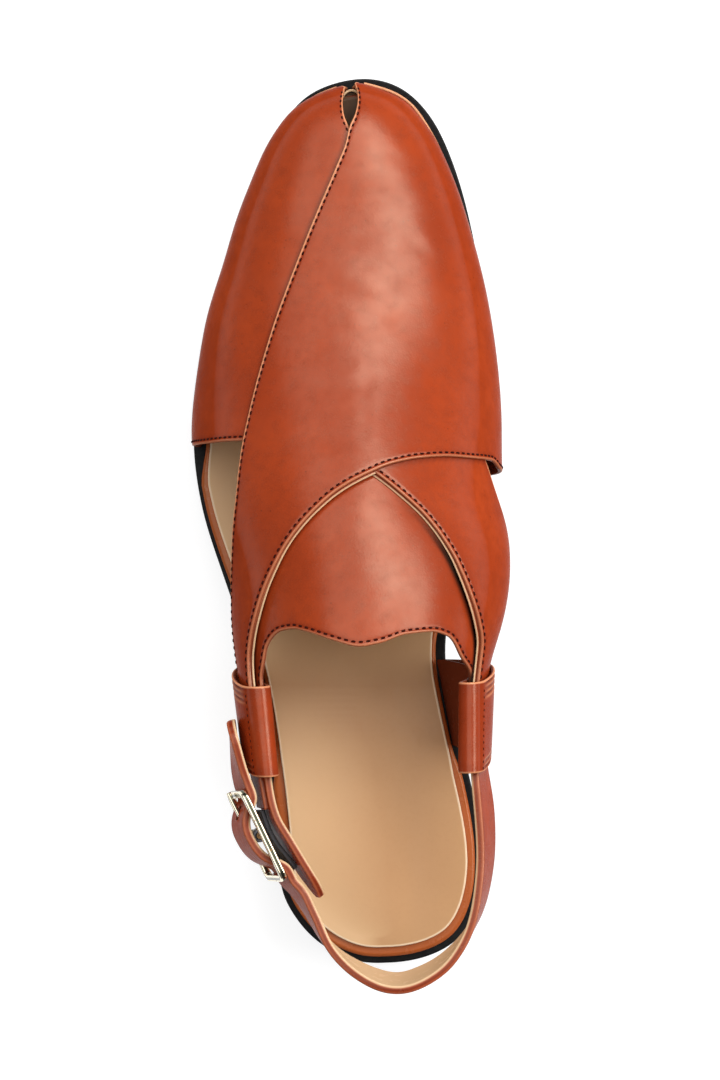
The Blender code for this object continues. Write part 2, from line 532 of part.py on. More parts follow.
def rod(name, a, o, radius, low, high, mat, sides=14, **kw):
    """Round rod standing down the buckle's plane."""
    rings = [[frame_point(a + radius * math.cos(k * 2 * math.pi / sides), h,
                          o + radius * math.sin(k * 2 * math.pi / sides)) for k in range(sides)]
             for h in (low, high)]
    return sweep(name, rings, mat, **kw)


# ---- the buckle, in its own coordinates: along from its rear bar, down from its top bar, out of its plane ----

def make_frame():
    """Rectangular frame with bent corners, and its middle bar."""
    turns = (((LENGTH - CORNER, HIGH - CORNER), 0), ((CORNER, HIGH - CORNER), 90), ((CORNER, CORNER), 180),
             ((LENGTH - CORNER, CORNER), 270))
    corners = [(ca + CORNER * math.cos(math.radians(g0 + g)), ch + CORNER * math.sin(math.radians(g0 + g)), 0.0)
               for (ca, ch), g0 in turns for g in (0, 22.5, 45, 67.5, 90)]
    frame = bar("buckle_frame", corners, BAR, BAR, "gold", closed=True)
    boolean(frame, rod("centre_bar", MID_A, 0.0, PIN, 0.0, HIGH, "gold", cutter=True), "UNION")


def make_prong():
    """Prong from its eye round the middle bar, out over the front bar."""
    low, high, past = MID_H - PRONG_EYE / 2, MID_H + PRONG_EYE / 2, 2.0
    path = [(MID_A - 0.5, MID_H, 1.35), (MID_A + 4.0, MID_H, 1.7), (MID_A + 9.0, MID_H, 2.1),
            (LENGTH + PRONG_PAST, MID_H, PRONG_OUT)]
    prong = bar("buckle_prong", path, PRONG, PRONG, "gold", bevel=0.3)
    boolean(prong, rod("prong_eye", MID_A, 0.0, EYE, low, high, "gold", cutter=True), "UNION")
    bore = rod("prong_bore", MID_A, 0.0, BORE, low - past, high + past, "gold", cutter=True)
    boolean(prong, bore, "DIFFERENCE")


def cut_slot(strap):
    """Slot in the strap where the prong passes through it."""
    path = [(MID_A + 1.0, MID_H, 2.0), (LENGTH + 2 * PRONG_PAST, MID_H, PRONG_OUT)]
    boolean(strap, bar("strap_slot", path, SLOT_W, SLOT_H, "black", bevel=0.5, cutter=True), "DIFFERENCE")


def make_elastic():
    """Elastic between the tab and the middle bar, with an eye above and one below the prong's."""
    strip = band(headed(ELASTIC, -1.0), 18, ELASTIC_H, ELASTIC_T, chamfer=0.3)
    elastic = sweep("buckle_elastic", strip, "black")
    for key, low, far in (("upper", MID_H - 5.2, MID_H - 1.5), ("lower", MID_H + 1.5, MID_H + 6.6)):
        web = [(MID_A + 0.6, low + 0.01, -1.6), (MID_A + 0.6, far - 0.01, -1.6)]
        boolean(elastic, bar("elastic_web_" + key, web, WEB_W, WEB_H, "black", bevel=0.3, cutter=True), "UNION")
        eye = rod("elastic_eye_" + key, MID_A, 0.0, EYE, low, far, "black", cutter=True)
        boolean(elastic, eye, "UNION")
    boolean(elastic, rod("elastic_bore", MID_A, 0.0, BORE, 0.0, HIGH, "black", cutter=True), "DIFFERENCE")


# ---- the shoe ----

for old in list(bpy.data.objects):
    bpy.data.objects.remove(old, do_unlink=True)
SHOE = bpy.data.collections.new("peshawari_chappal")
CUTTERS = bpy.data.collections.new("cutters")
for group in (SHOE, CUTTERS):
    bpy.context.scene.collection.children.link(group)
CUTTERS.hide_render = True
MATS = {key: material(key) for key in COLOURS}
SOLE_STEPS = 44
PRONG_SIDE = (0.0, 1.0, 0.0)
RIDGE_X, RIDGE_Z = columns(RIDGE)
LAT_X, LAT_Z = columns(LATERAL)
MED_X, MED_Z = columns(MEDIAL)
FOOT_L, FOOT_M = columns(FEATHER)

slab("outsole", 0, sole_z, lambda y: sole_z(y) + SOLE_T, "black", edge=0.6)
slab("heel_block", 0, lambda y: 0.0 * y, lambda y: 0.0 * y + HEEL_H - GAP, "black", edge=0.5, stop=43.0)
slab("insole_board", 1, lambda y: sole_z(y) + SOLE_T + GAP, lambda y: sole_z(y) + SOLE_T + GAP + BOARD_T,
     "cognac", edge=1.2)
slab("sock", 2, lambda y: sole_z(y) + SOLE_T + 2 * GAP + BOARD_T,
     lambda y: sole_z(y) + SOLE_T + 2 * GAP + BOARD_T + SOCK_T, "beige", edge=0.3)

over = panel("over_panel", OVER_SEAM, OVER_ARC, 34, 14, over_offsets, "cognac", crowd=1.4, cutter=True)
upper = panel("upper", UNDER_EDGE, UNDER_ARC, 34, 14, lambda y, t: (0.0, UNDER_T), "cognac", crowd=1.4)
boolean(upper, over, "UNION")
panel("tongue", TONGUE_FRONT, TONGUE_REAR, 24, 9, tongue_offsets, "cognac")

sweep("loop_lateral", loop("loop_lateral", LOOP_LATERAL), "cognac")
sweep("loop_medial", loop("loop_medial", LOOP_MEDIAL), "cognac")

facing = frame_point(0, 0, 1) - frame_point(0, 0, 0)
woven = [(*frame_point(a, STRAP_IN_FRAME, o), FRAME_LEAN, *facing[:2] / np.linalg.norm(facing[:2]))
         for a, o in WEAVE]
strap_shares = np.concatenate([np.linspace(0, 0.7, 40, endpoint=False), np.linspace(0.7, 1.0, 42)])
strap = sweep("heel_strap", band(np.concatenate([headed(HEEL_STRAP), woven, headed(STRAP_END)]), strap_shares,
                                 STRAP_H, STRAP_T, tip=True), "cognac")
tab = sweep("buckle_tab", band(headed(TAB, -1.0), 20, TAB_H, TAB_T, tip=True, tip_len=9.0), "cognac")
cover = sweep("tab_cover", band(headed(TAB_COVER, -1.0), 6, TAB_H - 4.0, 2.0), "cognac", cutter=True)
boolean(tab, cover, "UNION")

make_frame()
make_prong()
cut_slot(strap)
make_elastic()
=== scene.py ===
"""Looks of a left peshawari chappal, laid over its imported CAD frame: crossed leather panels with a toe slit,
tongue, folded side loops, buckled heel strap, footbed, sole and heel, each as its own fine mesh with seams
and stitches. Tables are in millimetres, +X medial, +Y toward the toe, +Z up; MM turns them into metres."""
import math

import bpy
import numpy as np
from mathutils import Matrix, Vector


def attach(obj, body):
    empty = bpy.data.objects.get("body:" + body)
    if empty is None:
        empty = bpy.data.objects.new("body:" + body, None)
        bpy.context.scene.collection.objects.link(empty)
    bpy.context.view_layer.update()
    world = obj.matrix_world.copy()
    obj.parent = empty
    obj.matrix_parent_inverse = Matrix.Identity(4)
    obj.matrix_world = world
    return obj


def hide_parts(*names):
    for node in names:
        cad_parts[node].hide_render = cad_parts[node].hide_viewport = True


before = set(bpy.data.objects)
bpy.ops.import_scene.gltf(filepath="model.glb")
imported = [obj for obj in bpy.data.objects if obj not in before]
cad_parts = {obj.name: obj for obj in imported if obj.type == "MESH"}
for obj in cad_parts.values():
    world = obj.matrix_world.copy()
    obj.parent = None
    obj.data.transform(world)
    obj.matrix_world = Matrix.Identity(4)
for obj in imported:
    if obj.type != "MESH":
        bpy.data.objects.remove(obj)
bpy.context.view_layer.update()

MM = 0.001
Y_TIP = 253.4            # toe end of the last
HEEL_H = 20.0            # height of the heel block
HEEL_FRONT = 43.0        # its straight front
BALL_REAR, BALL_FRONT = 142.0, 193.0     # ends of the flat part of the outsole's forefoot
SOLE_TIP = 257.3         # toe end of the outsole
SOLE_T = 5.0             # outsole thickness
BOARD_T = 3.8            # wrapped insole board
SOCK_T = 1.0             # footbed
GAP = 0.3                # clearance between pieces that touch
SPRING = 8.6             # toe spring at the tip
UNDER_T = 1.5            # thickness of the under panel
OVER_LIFT = 1.1          # how far the over panel rides up where it lies on the under panel
OVER_T = 1.5             # thickness of the over panel
TONGUE_T = 1.3           # thickness of the tongue
TONGUE_GAP = 0.15        # extra clearance over the tongue
TONGUE_SINK = 1.4        # how far its medial side hangs below the panel
LOOP_T = 1.3             # leather of the loops
STRAP_T, STRAP_H = 2.6, 21.0     # thickness and height of the heel strap
BAR = 2.2                # buckle wire
CORNER = 2.4             # bend radius of the frame's corners
PIN = 0.95               # radius of its middle bar
EYE, BORE = 2.05, 1.25   # outer and inner radius of the prong's and the elastic's eyes
PRONG = 1.4              # wire of the prong

# Outline of the outsole (x, y), heel centre round the lateral side to the toe and back round the medial side.
OUTSOLE = (
    (-3, -32), (-11.5, -30.6), (-19.2, -26.8), (-25.9, -21), (-31.1, -13.5), (-34.1, -4.2), (-35.2, 12),
    (-36.6, 32), (-38.8, 52), (-42.4, 71), (-46.9, 86.5), (-51.9, 102), (-56.2, 117.5), (-58.5, 135),
    (-57.9, 150), (-55.6, 165), (-51.8, 181), (-46.9, 196), (-41.6, 211.5), (-36.5, 224), (-31.8, 234.2),
    (-26.9, 242), (-20.9, 249.2), (-12.4, 254.7), (0.5, 257.3), (12, 254.9), (20.1, 248.7), (26.5, 239),
    (31.8, 224.9), (35.2, 211), (37.8, 196), (39.5, 180), (40.3, 163), (39.9, 147), (38, 129), (34.4, 112),
    (28.6, 94), (23.8, 80), (22.1, 68), (23, 57), (26, 40), (29, 25), (31.2, 11), (31.6, -1), (30, -12),
    (26, -21.2), (19.5, -27.4), (9, -31.2))

# How far pieces stand in from the edge of the outsole, on its lateral and medial side (y, board, sock).
INSETS_LAT = (
    (-32, 2.6, 5.9), (0, 2, 5), (12, 1.2, 4.9), (27, 0.9, 4.8), (36, 3.3, 4.6), (71, 3.3, 4.6),
    (79, 1.7, 4.2), (100, 1.4, 4), (126, 1.4, 3.7), (137, 4.2, 5.6), (150, 5.2, 7), (215, 5.2, 7),
    (248, 5.6, 7), (258, 5.4, 6.6))
INSETS_MED = (
    (-32, 2.6, 5.9), (0, 2.4, 4.9), (29, 2.2, 5), (37, 3.3, 4.6), (71, 3.3, 4.6), (79, 2.6, 4.7),
    (100, 2.6, 5), (118, 3, 5.2), (128, 5.6, 7.6), (150, 6.2, 8.2), (215, 6.2, 8.2), (248, 6.9, 8.2),
    (258, 5.4, 6.6))

# Top line of the last (y, x, z).
RIDGE = (
    (253.4, -3, 16), (251, -3.1, 22), (247, -3.3, 26), (240, -3.6, 29.9), (230, -4, 33), (215, -4.6, 36.4),
    (200, -5.2, 39.6), (185, -5.6, 43.4), (170, -6, 48.2), (155, -6.2, 54.5), (140, -6.2, 62),
    (125, -6, 69.5), (110, -5.5, 76.2), (95, -5, 81.5), (75, -4.5, 87), (60, -4.2, 91), (40, -4, 96),
    (30, -4, 98))
# Its widest line on the lateral and on the medial side (y, x, z).
LATERAL = (
    (253.4, -3, 16), (252, -9.8, 15.7), (249.6, -15.8, 15.3), (246, -21.3, 14.7), (241, -25.8, 14),
    (234, -30.4, 13.2), (223.4, -35.4, 12.8), (211.4, -40.4, 13), (195.7, -45.6, 14), (180.6, -50.7, 15.5),
    (167.3, -53.6, 17), (154, -55.8, 18.6), (139.3, -56.8, 21), (125, -54.5, 26), (110, -49.5, 34),
    (95, -45.3, 41.5), (80, -43.8, 46), (64, -42, 49), (50, -40.1, 50), (40, -39.1, 50), (30, -38.3, 50))
MEDIAL = (
    (253.4, -3, 16), (251.3, 6.3, 15.5), (248.7, 12.3, 15), (242.7, 18.4, 14.2), (237.1, 22.3, 13.5),
    (228.9, 26.2, 13), (218.1, 30.1, 12.8), (203.5, 34, 13.5), (186.1, 37.7, 15), (171.2, 39.7, 16.6),
    (156.4, 40.8, 18.4), (143.4, 40.9, 21), (130.3, 40.2, 25), (118, 40.2, 31.5), (105, 41.6, 39),
    (91, 41.2, 44.5), (77, 38, 47.5), (65, 34, 49), (50, 31.8, 50), (40, 31.2, 50), (30, 30.6, 50))
# Its foot line on the outsole (y, lateral x, medial x).
FEATHER = (
    (253.4, -3, -3), (252.2, -9.2, 3.9), (250.2, -14.2, 9.6), (246.8, -19.8, 14.8), (241.6, -24.8, 18.8),
    (234, -29.4, 23), (223, -34.5, 27), (211, -39.3, 30.2), (195, -44.5, 33.6), (180, -49.2, 35.8),
    (167, -52.3, 37), (154, -54.6, 37.4), (139, -55.8, 36.8), (125, -54, 34), (110, -51, 30),
    (95, -47.5, 26), (80, -44, 23), (64, -41, 22), (50, -39, 24), (40, -38, 26), (30, -37.2, 28))

# Edges of the upper's panels and of the tongue on the last (y, place round it). The place runs from -1 at the
# lateral foot line over 0 at the top line to +1 at the medial foot line.
OVER_SEAM = (
    (253.38, 1), (253.36, 0.75), (252.7, 0.157), (249.6, 0.118), (246.3, 0.094), (242.6, 0.058),
    (238.3, 0.004), (233.1, -0.024), (226.2, -0.077), (215, -0.152), (199.6, -0.233), (187.5, -0.284),
    (173.8, -0.331), (158, -0.369), (140.2, -0.397), (123.3, -0.431), (107.1, -0.5), (90.3, -0.594),
    (77, -0.65), (62, -0.665), (43.5, -0.665))
OVER_ARC = (
    (125.6, 1), (125.8, 0.85), (126.8, 0.688), (129.3, 0.6), (129.8, 0.468), (130.3, 0.343), (129.8, 0.236),
    (128.3, 0.138), (125.3, 0.049), (120.9, -0.044), (114.3, -0.137), (105, -0.239), (97.9, -0.301),
    (90.6, -0.36), (82.9, -0.414), (75.6, -0.461), (69.5, -0.492), (62.1, -0.51), (43.5, -0.52))
UNDER_EDGE = (
    (253.38, -1), (253.36, -0.75), (252.7, -0.145), (249.9, -0.097), (246.8, -0.078), (243, -0.05),
    (238.8, 0), (232, 0.07), (224, 0.135), (212, 0.215), (198, 0.285), (180, 0.345), (160, 0.42),
    (140, 0.51), (123, 0.6), (107, 0.66), (90, 0.68), (77, 0.68), (62, 0.672), (43.5, 0.665))
UNDER_ARC = (
    (138.3, -1), (138.2, -0.85), (138.1, -0.605), (138.2, -0.522), (138.1, -0.452), (138, -0.403),
    (137.6, -0.3), (136.2, -0.18), (133.4, -0.08), (130.2, 0), (126, 0.073), (119.7, 0.152), (111.8, 0.231),
    (100.1, 0.305), (93.2, 0.338), (85.8, 0.377), (78.9, 0.42), (71.5, 0.47), (62, 0.5), (43.5, 0.52))
TONGUE_FRONT = (
    (44, -0.64), (62, -0.64), (80, -0.6), (98, -0.52), (118, -0.4), (138, -0.23), (148, 0), (138, 0.23),
    (118, 0.4), (98, 0.52), (80, 0.6), (62, 0.64), (44, 0.64))
TONGUE_REAR = (
    (44, -0.52), (63.2, -0.485), (69, -0.446), (73.6, -0.414), (78.6, -0.324), (79.2, -0.264),
    (78.3, -0.207), (75.5, -0.107), (73.5, -0.013), (74.3, 0.054), (76.6, 0.143), (77, 0.229), (75.2, 0.306),
    (68.3, 0.39), (61.7, 0.484), (44, 0.52))

# Leather middle of each loop, from its inner foot over the fold to its outer foot (z, x at the rear edge,
# x at the front edge).
LOOP_LATERAL = (
    (25.8, -35, -39.1), (38, -35.2, -38.8), (50, -35.9, -38.8), (58, -35.1, -37.5), (65, -33.4, -35.3),
    (69.3, -33, -34.6), (71.4, -35.5, -37.5), (69.3, -38.5, -40.9), (65, -40.4, -43), (58, -42.5, -45),
    (50, -43.2, -46), (41, -41.8, -45.2), (32, -38.3, -42.2), (25.8, -36.6, -40.7))
LOOP_MEDIAL = (
    (25.8, 23.9, 19.7), (38, 26.2, 25.2), (50, 28.1, 30.1), (58, 27.2, 28.8), (65, 25.2, 26.6),
    (69.3, 24.4, 25.4), (71.4, 27.2, 28), (69.3, 30.1, 31), (65, 31.7, 32.9), (58, 33.3, 35.1),
    (50, 34.2, 36.3), (41, 33.8, 34.8), (32, 29.4, 26.8), (25.8, 25.5, 21.3))
LOOP_LENGTH = 28.2       # along y
LOOP_REAR = {"loop_lateral": 33.2, "loop_medial": 32.3}
LOOP_RAKE = 5.6          # how far the foot of a loop stands forward of its fold
LOOPS = {"loop_lateral": LOOP_LATERAL, "loop_medial": LOOP_MEDIAL}

# Middle of the top edge of each strap (x, y, z, lean). Lean is how far its top tips inward, in degrees.
HEEL_STRAP = (
    (28.6, 42, 66.6, 9), (28.7, 31, 68.2, 11), (29.1, 21.9, 70.2, 13), (29.4, 13.8, 71.6, 13),
    (29.3, 5.6, 73, 12), (28.4, -2.5, 74.4, 10.5), (26.8, -10.5, 75.7, 8), (24.3, -17.3, 76.8, 4.5),
    (21.2, -22.4, 77.6, 1), (17.8, -26.3, 78.2, -1.5), (13.6, -29.4, 78.6, -3), (9.4, -31.5, 78.9, -4),
    (5.2, -32.7, 79, -4), (1.1, -32.8, 79, -4), (-2.9, -31.9, 78.7, -4), (-6.9, -30, 78.2, -3),
    (-11, -27.2, 77.4, -1), (-14.9, -23.5, 76.4, 2), (-18.4, -18.6, 75.2, 5), (-21.3, -11.8, 73.6, 8),
    (-23.6, -6.5, 72.2, 10.5), (-26, -1.9, 70.9, 13))
# The heel strap on through the buckle: along the frame from its rear bar, and out of the frame's plane.
WEAVE = (
    (-2.4, -2.9), (0, -2.8), (2.4, -2.4), (5.2, -0.2), (8.2, 2.2), (11.2, 3.3), (14.4, 3.7), (17.6, 3.6),
    (20.6, 2.6), (23.4, 0.3), (26, -2.3), (28.8, -2.9))
STRAP_IN_FRAME = 1.9     # how far the strap's top edge lies below the middle of the frame's top bar
STRAP_END = ((-42.6, 34.6, 70.2, 11), (-44.5, 42, 71.2, 6), (-46.8, 50.8, 72, 0))
TAB = (
    (-36.9, 41.5, 66.4, 13), (-35.6, 34, 67.8, 13), (-34.3, 25, 69.4, 12), (-32.6, 19.6, 70, 12),
    (-29.8, 14.5, 70, 12), (-26, 7.7, 70, 12), (-22, 0.7, 69.6, 11), (-18.9, -4.8, 69, 10))
TAB_COVER = ((-38.4, 41.5, 64.4, 13), (-37.6, 34, 66, 13), (-36.6, 28, 67, 12), (-35.9, 23, 67.6, 12))
TAB_H, TAB_T, COVER_H, COVER_T = 19.0, 2.3, 15.0, 2.0     # heights and thicknesses of the tab and its cover
STRAP_TIP, TAB_TIP = 7.0, 9.0                # how long the rounded ends of the heel strap and the tab are
ELASTIC = (
    (-37.6, 22.4, 65, 14), (-35.6, 16.3, 65, 14), (-33, 11.4, 65, 14), (-30.2, 7.6, 65, 14),
    (-27.9, 4.1, 64.8, 13))
ELASTIC_H, ELASTIC_T = 13.0, 1.5             # height and thickness of the elastic

# Buckle frame: rear and front top corner in plan, height of its top bar, outer height, lean in degrees.
FRAME_REAR, FRAME_FRONT = (-31.5, 2.1), (-43.0, 28.5)
FRAME_TOP, FRAME_HIGH, FRAME_LEAN = 72.4, 27.4, 13.5
LENGTH, HIGH = math.dist(FRAME_REAR, FRAME_FRONT), FRAME_HIGH - BAR    # between the middles of its bars
MID_A, MID_H = LENGTH / 2, HIGH / 2
PRONG_EYE_H = 2.2                                    # height of the prong's eye
# Line of the prong: along the buckle, and out of its plane.
PRONG_LINE = ((MID_A + BORE + 0.3, 1.45), (MID_A + 4.0, 1.7), (MID_A + 9.0, 2.1), (LENGTH + 1.6, 2.2))
SLOT = ((20.9, 2.4), (23.5, -0.25))                  # ends of the strap's slot for the prong: along, out
SLOT_H, SLOT_BACK = 3.4, 5                           # its height, and how many rings the inner end lies back
EYES = ((-5.2, -1.5), (1.5, 6.6))                    # the elastic's two eyes, down from the bar's middle
WEB_W, WEB_H, WEB_A, WEB_O = 2.4, 3.4, 0.6, -1.6     # joins of the elastic with its eyes: size, place

# Stitching.
PITCH, STITCH, THREAD = 2.30, 1.50, 0.33     # stitch spacing, length of one stitch, radius of the thread
ROW_START = 0.6                              # bare thread's length at both ends of a row
SEAM_IN = 1.35                               # distance of a stitch row from its edge
GROOVE, GROOVE_W = 0.16, 0.42                # depth and half width of the trough that a row pulls in
EDGE_R = 0.6                                 # rounding of a cut leather edge
ARC_RIM = 0.45                               # how light the panels' rear edges are beside their front edges
LINING_T, LINING_SHOW = 0.8, 0.7             # lining of the panels, and how far it shows past their arcs
LOOP_SEAMS = (1.1, 2.9, 4.7)                 # lines beside the edges of a loop's outer leaf: grooves of painted shade, a painted highlight beside
LOOP_SEAM_W, LOOP_SEAM_DEEP = 0.42, 0.50     # their half width and depth
LOOP_COUNT = 110                             # points of a loop from its inner to its outer foot
LOOP_ROW = 59                                # the one under its stitch row, just outside the fold
LOOP_INSIDE, LOOP_OUTER = (0.40, 0.47), (0.53, 0.60)     # shares where its inner leaf ends, its outer starts
# Soft creases of the leather: both ends in plan, half width, depth.
CREASES = (
    ((-14.2, 196.3), (7.1, 200.3), 2.6, 0.1), ((-16.5, 188.2), (12.6, 178), 3.2, 0.12),
    ((-25.9, 154.6), (5.5, 155.7), 3, 0.08), ((1.7, 166.2), (-1.5, 132.8), 2.4, 0.08),
    ((8.2, 229.5), (23.8, 223.8), 2.2, 0.07), ((-37.5, 195.8), (-32.5, 157.5), 2.6, 0.07),
    ((10.3, 207.3), (22.7, 194.1), 2.4, 0.09), ((18.5, 152.5), (20.7, 152.9), 0.35, 0.1))
GAP_SHADE = 3.8                              # width of the painted shadow in the gap between the tongue and the under panel
GAP_ROWS = slice(260, 480)                   # where along the under panel's arc that gap is
GAP_FADE = (122.0, 98.0)                     # y over which that painted shadow grows dark
STEP_SHADE = 1.9                             # how far the painted shade reaches from the foot of a step
# Distances from a cut edge at which a sheet has a row of points.
EDGE_STEPS = (0.0, 0.02, 0.07, 0.15, 0.26, 0.42, 0.6, 0.75, 0.9, 1.05, 1.2, 1.35, 1.5, 1.7, 2.0, 2.5, 3.2)

# Light edge along the upper's foot line: width, y at its front end, then for each side its place round the
# last, y at its rear end, and how much further out it lies at the toe.
FOOT_EDGE, FOOT_LINE_FRONT = 0.9, 252.9
FOOT_LINES = (("foot_line_lateral", -1.0, 139.0, 0.0), ("foot_line_medial", 1.0, 126.5, 0.8))
# Front end of the toe slit: middle line of its edge, and y and height over the sole of the lining behind it.
TOE_CENTRE, TOE_LINING_X = (-2.3, 249.0, 0.0), (-7.5, 3.0)
TOE_EDGE = ((-5.6, 250.6, 17.0), (-4.4, 252.3, 16.0), (-2.3, 253.2, 15.5), (-0.5, 252.3, 16.0),
            (0.6, 250.6, 17.0))
TOE_LINING = ((240.0, 10.3), (245.0, 10.3), (249.0, 10.0), (251.0, 9.0), (252.6, 6.0))

# Fineness of the meshes.
ROUND_STEPS = 100        # columns of the last on each side
LAST_ROWS, LAST_END = 300, math.sqrt(Y_TIP - 30.0)     # its rows, and the root of y at the last one
NEAR_FOOT_LINE = 0.93    # place round the last from which the leather is kept above the sole
TOP_STEPS = (0.15, 0.4, 0.9, 1.6, 2.6)   # rows of points on top of a layer of the bottom, beside its edge
SOFTEN = 3               # smoothing passes over each section of the last
SOLE_STEPS = 180         # points of each half of the outsole's edge

# Soft boxes: degrees from overhead toward +X and toward +Y, turn in plan, size in metres, power in watts.
SOFTBOXES = (("overhead_softbox", -6.0, 22.0, 0.0, (2.1, 2.9), 36.0),
             ("key_softbox", 39.0, 25.0, 42.0, (0.78, 2.8), 48.0))
LIT, LIGHT_AWAY = (0.0, 0.12, 0.03), 1.8     # the point they face, and how far away they are
CAMERA_PLACE, CAMERA_TURN, CAMERA_LENS = (-0.0045, 0.1057, 1.0), -1.9, 100.0


# ---- curves ----

def smooth(a, b, x):
    """0 up to a and 1 from b on, with a soft rise between them."""
    u = np.clip((np.asarray(x, float) - a) / (b - a), 0, 1)
    return u * u * (3 - 2 * u)


def cubic(xs, ys, slopes):
    """Cubic curve through the points with these slopes at them, as a function."""
    h = np.diff(xs)

    def at(x):
        i = np.clip(np.searchsorted(xs, x) - 1, 0, len(xs) - 2)
        u = (x - xs[i]) / h[i]
        return ((1 + 2 * u) * (1 - u) ** 2 * ys[i] + u * (1 - u) ** 2 * h[i] * slopes[i]
                + u * u * (3 - 2 * u) * ys[i + 1] + u * u * (u - 1) * h[i] * slopes[i + 1])
    return at


def spline(xs, ys):
    """Natural cubic curve through the points, as a function."""
    h, rise = np.diff(xs), np.diff(ys) / np.diff(xs)
    lhs, rhs = 2 * np.eye(len(xs)), np.zeros(len(xs))
    lhs[0, 1] = lhs[-1, -2] = 1
    rhs[0], rhs[-1] = 3 * rise[0], 3 * rise[-1]
    for i in range(1, len(xs) - 1):
        lhs[i, i - 1:i + 2] = 1 / h[i - 1], 2 / h[i - 1] + 2 / h[i], 1 / h[i]
        rhs[i] = 3 * (rise[i - 1] / h[i - 1] + rise[i] / h[i])
    return cubic(xs, ys, np.linalg.solve(lhs, rhs))


def pchip(xs, ys):
    """Cubic curve through the points that never overshoots them, as a function."""
    h, rise = np.diff(xs), np.diff(ys) / np.diff(xs)
    slopes = np.zeros(len(xs))
    slopes[0], slopes[-1] = rise[0], rise[-1]
    for i in range(1, len(xs) - 1):
        if rise[i - 1] * rise[i] > 0:
            w1, w2 = 2 * h[i] + h[i - 1], h[i] + 2 * h[i - 1]
            slopes[i] = (w1 + w2) / (w1 / rise[i - 1] + w2 / rise[i])
    return cubic(xs, ys, slopes)


def lengths(points):
    """Distance along a run of points, in its own units."""
    steps = np.linalg.norm(np.diff(points, axis=0), axis=1)
    return np.concatenate([[0.0], np.cumsum(steps)])


def pick(table, d, at):
    """Rows of a table where its distances d reach the values asked for."""
    return np.stack([np.interp(at, d, column) for column in table.T], -1)


def through(points, shares):
    """Points along the smooth curve through the given ones, every column with it: so many, or at shares."""
    if isinstance(shares, int):
        shares = np.linspace(0, 1, shares)
    points = np.array(points, float)
    d = lengths(points[:, :3])
    fine = np.stack([spline(d, column)(np.linspace(0, d[-1], 1200)) for column in points.T], 1)
    d = lengths(fine[:, :3])
    return pick(fine, d, shares * d[-1])


def unit(v):
    """Directions of vectors, or of rows of vectors."""
    return v / np.linalg.norm(v, axis=-1, keepdims=True)


# ---- the last ----

def sole_z(y):
    """Underside of the outsole: flat heel seat, shank, flat forefoot, toe spring."""
    toe = np.clip(y - BALL_FRONT, 0, None)
    return SPRING * (toe / (SOLE_TIP - BALL_FRONT)) ** 2 + HEEL_H * (1 - smooth(HEEL_FRONT, BALL_REAR, y))


def root(y):
    """Square root of the way back from the toe's tip, which spreads the rows where the last is round."""
    return np.sqrt(np.clip(Y_TIP - np.asarray(y, float), 0, None))


def columns(table):
    """Each column of a table as a function of the root of y, its first column."""
    y, *rest = np.array(table).T
    return [spline(root(y), column) for column in rest]


def section(s, side):
    """Half outline of the last at root s, from its top line to its foot line, at even shares of the way."""
    y = Y_TIP - s * s
    power = 2 / (1.9 + 0.35 * smooth(150, 220, y))      # the section is squarer toward the toe
    xt, zt = RIDGE_X(s), RIDGE_Z(s)
    xb, zb, xf = (LAT_X(s), LAT_Z(s), FOOT_L(s)) if side < 0 else (MED_X(s), MED_Z(s), FOOT_M(s))
    zf = min(sole_z(y) + SOLE_T + GAP, zb - 1.0)
    a, q = np.linspace(0, math.pi / 2, 240), np.linspace(0, 1, 60)[1:]
    top = np.stack([xt + (xb - xt) * np.sin(a) ** power, zb + (zt - zb) * np.cos(a) ** power], 1)
    low = np.stack([xb - (xb - xf) * q ** 2, zb - (zb - zf) * q], 1)
    line = np.concatenate([top, low])
    d = lengths(line)
    return pick(line, d, np.linspace(0, d[-1], ROUND_STEPS + 1))


def build_last():
    """Grid of points of the last and of its outward normals: rows by root of y, columns round it."""
    s = np.linspace(0, LAST_END, LAST_ROWS)
    grid = np.zeros((LAST_ROWS, 2 * ROUND_STEPS + 1, 3))
    for i, si in enumerate(s):
        line = np.concatenate([section(si, -1)[::-1], section(si, 1)[1:]])
        for _ in range(SOFTEN):
            line[1:-1] = (line[:-2] + 2 * line[1:-1] + line[2:]) / 4
        grid[i] = np.column_stack([line[:, 0], np.full(len(line), Y_TIP - si * si), line[:, 1]])
    normal = np.cross(np.gradient(grid, axis=1)[1:], -np.gradient(grid, axis=0)[1:])
    return grid, unit(np.concatenate([normal[:1], normal]))


def lay(s, t, off=0.0):
    """Points at distance off outside the last, for arrays of root of y and of place round it."""
    s, t, off = np.broadcast_arrays(np.asarray(s, float), t, off)
    i, j = s / LAST_END * (LAST_ROWS - 1), (t + 1) * ROUND_STEPS
    i0 = np.clip(i.astype(int), 0, LAST_ROWS - 2)
    j0 = np.clip(j.astype(int), 0, 2 * ROUND_STEPS - 1)

    def weights(f):
        return (((-0.5 * f + 1) * f - 0.5) * f, (1.5 * f - 2.5) * f * f + 1,
                ((-1.5 * f + 2) * f + 0.5) * f, (0.5 * f - 0.5) * f * f)
    point, normal = np.zeros(s.shape + (3,)), np.zeros(s.shape + (3,))
    for a, wa in enumerate(weights(i - i0)):
        for b, wb in enumerate(weights(j - j0)):
            ia, jb = np.clip(i0 + a - 1, 0, LAST_ROWS - 1), np.clip(j0 + b - 1, 0, 2 * ROUND_STEPS)
            point += (wa * wb)[..., None] * LAST[ia, jb]
            normal += (wa * wb)[..., None] * LAST_N[ia, jb]
    point = point + off[..., None] * unit(normal)
    floor = sole_z(point[..., 1]) + SOLE_T + GAP
    point[..., 2] = np.where(np.abs(t) > NEAR_FOOT_LINE, np.maximum(point[..., 2], floor), point[..., 2])
    return point


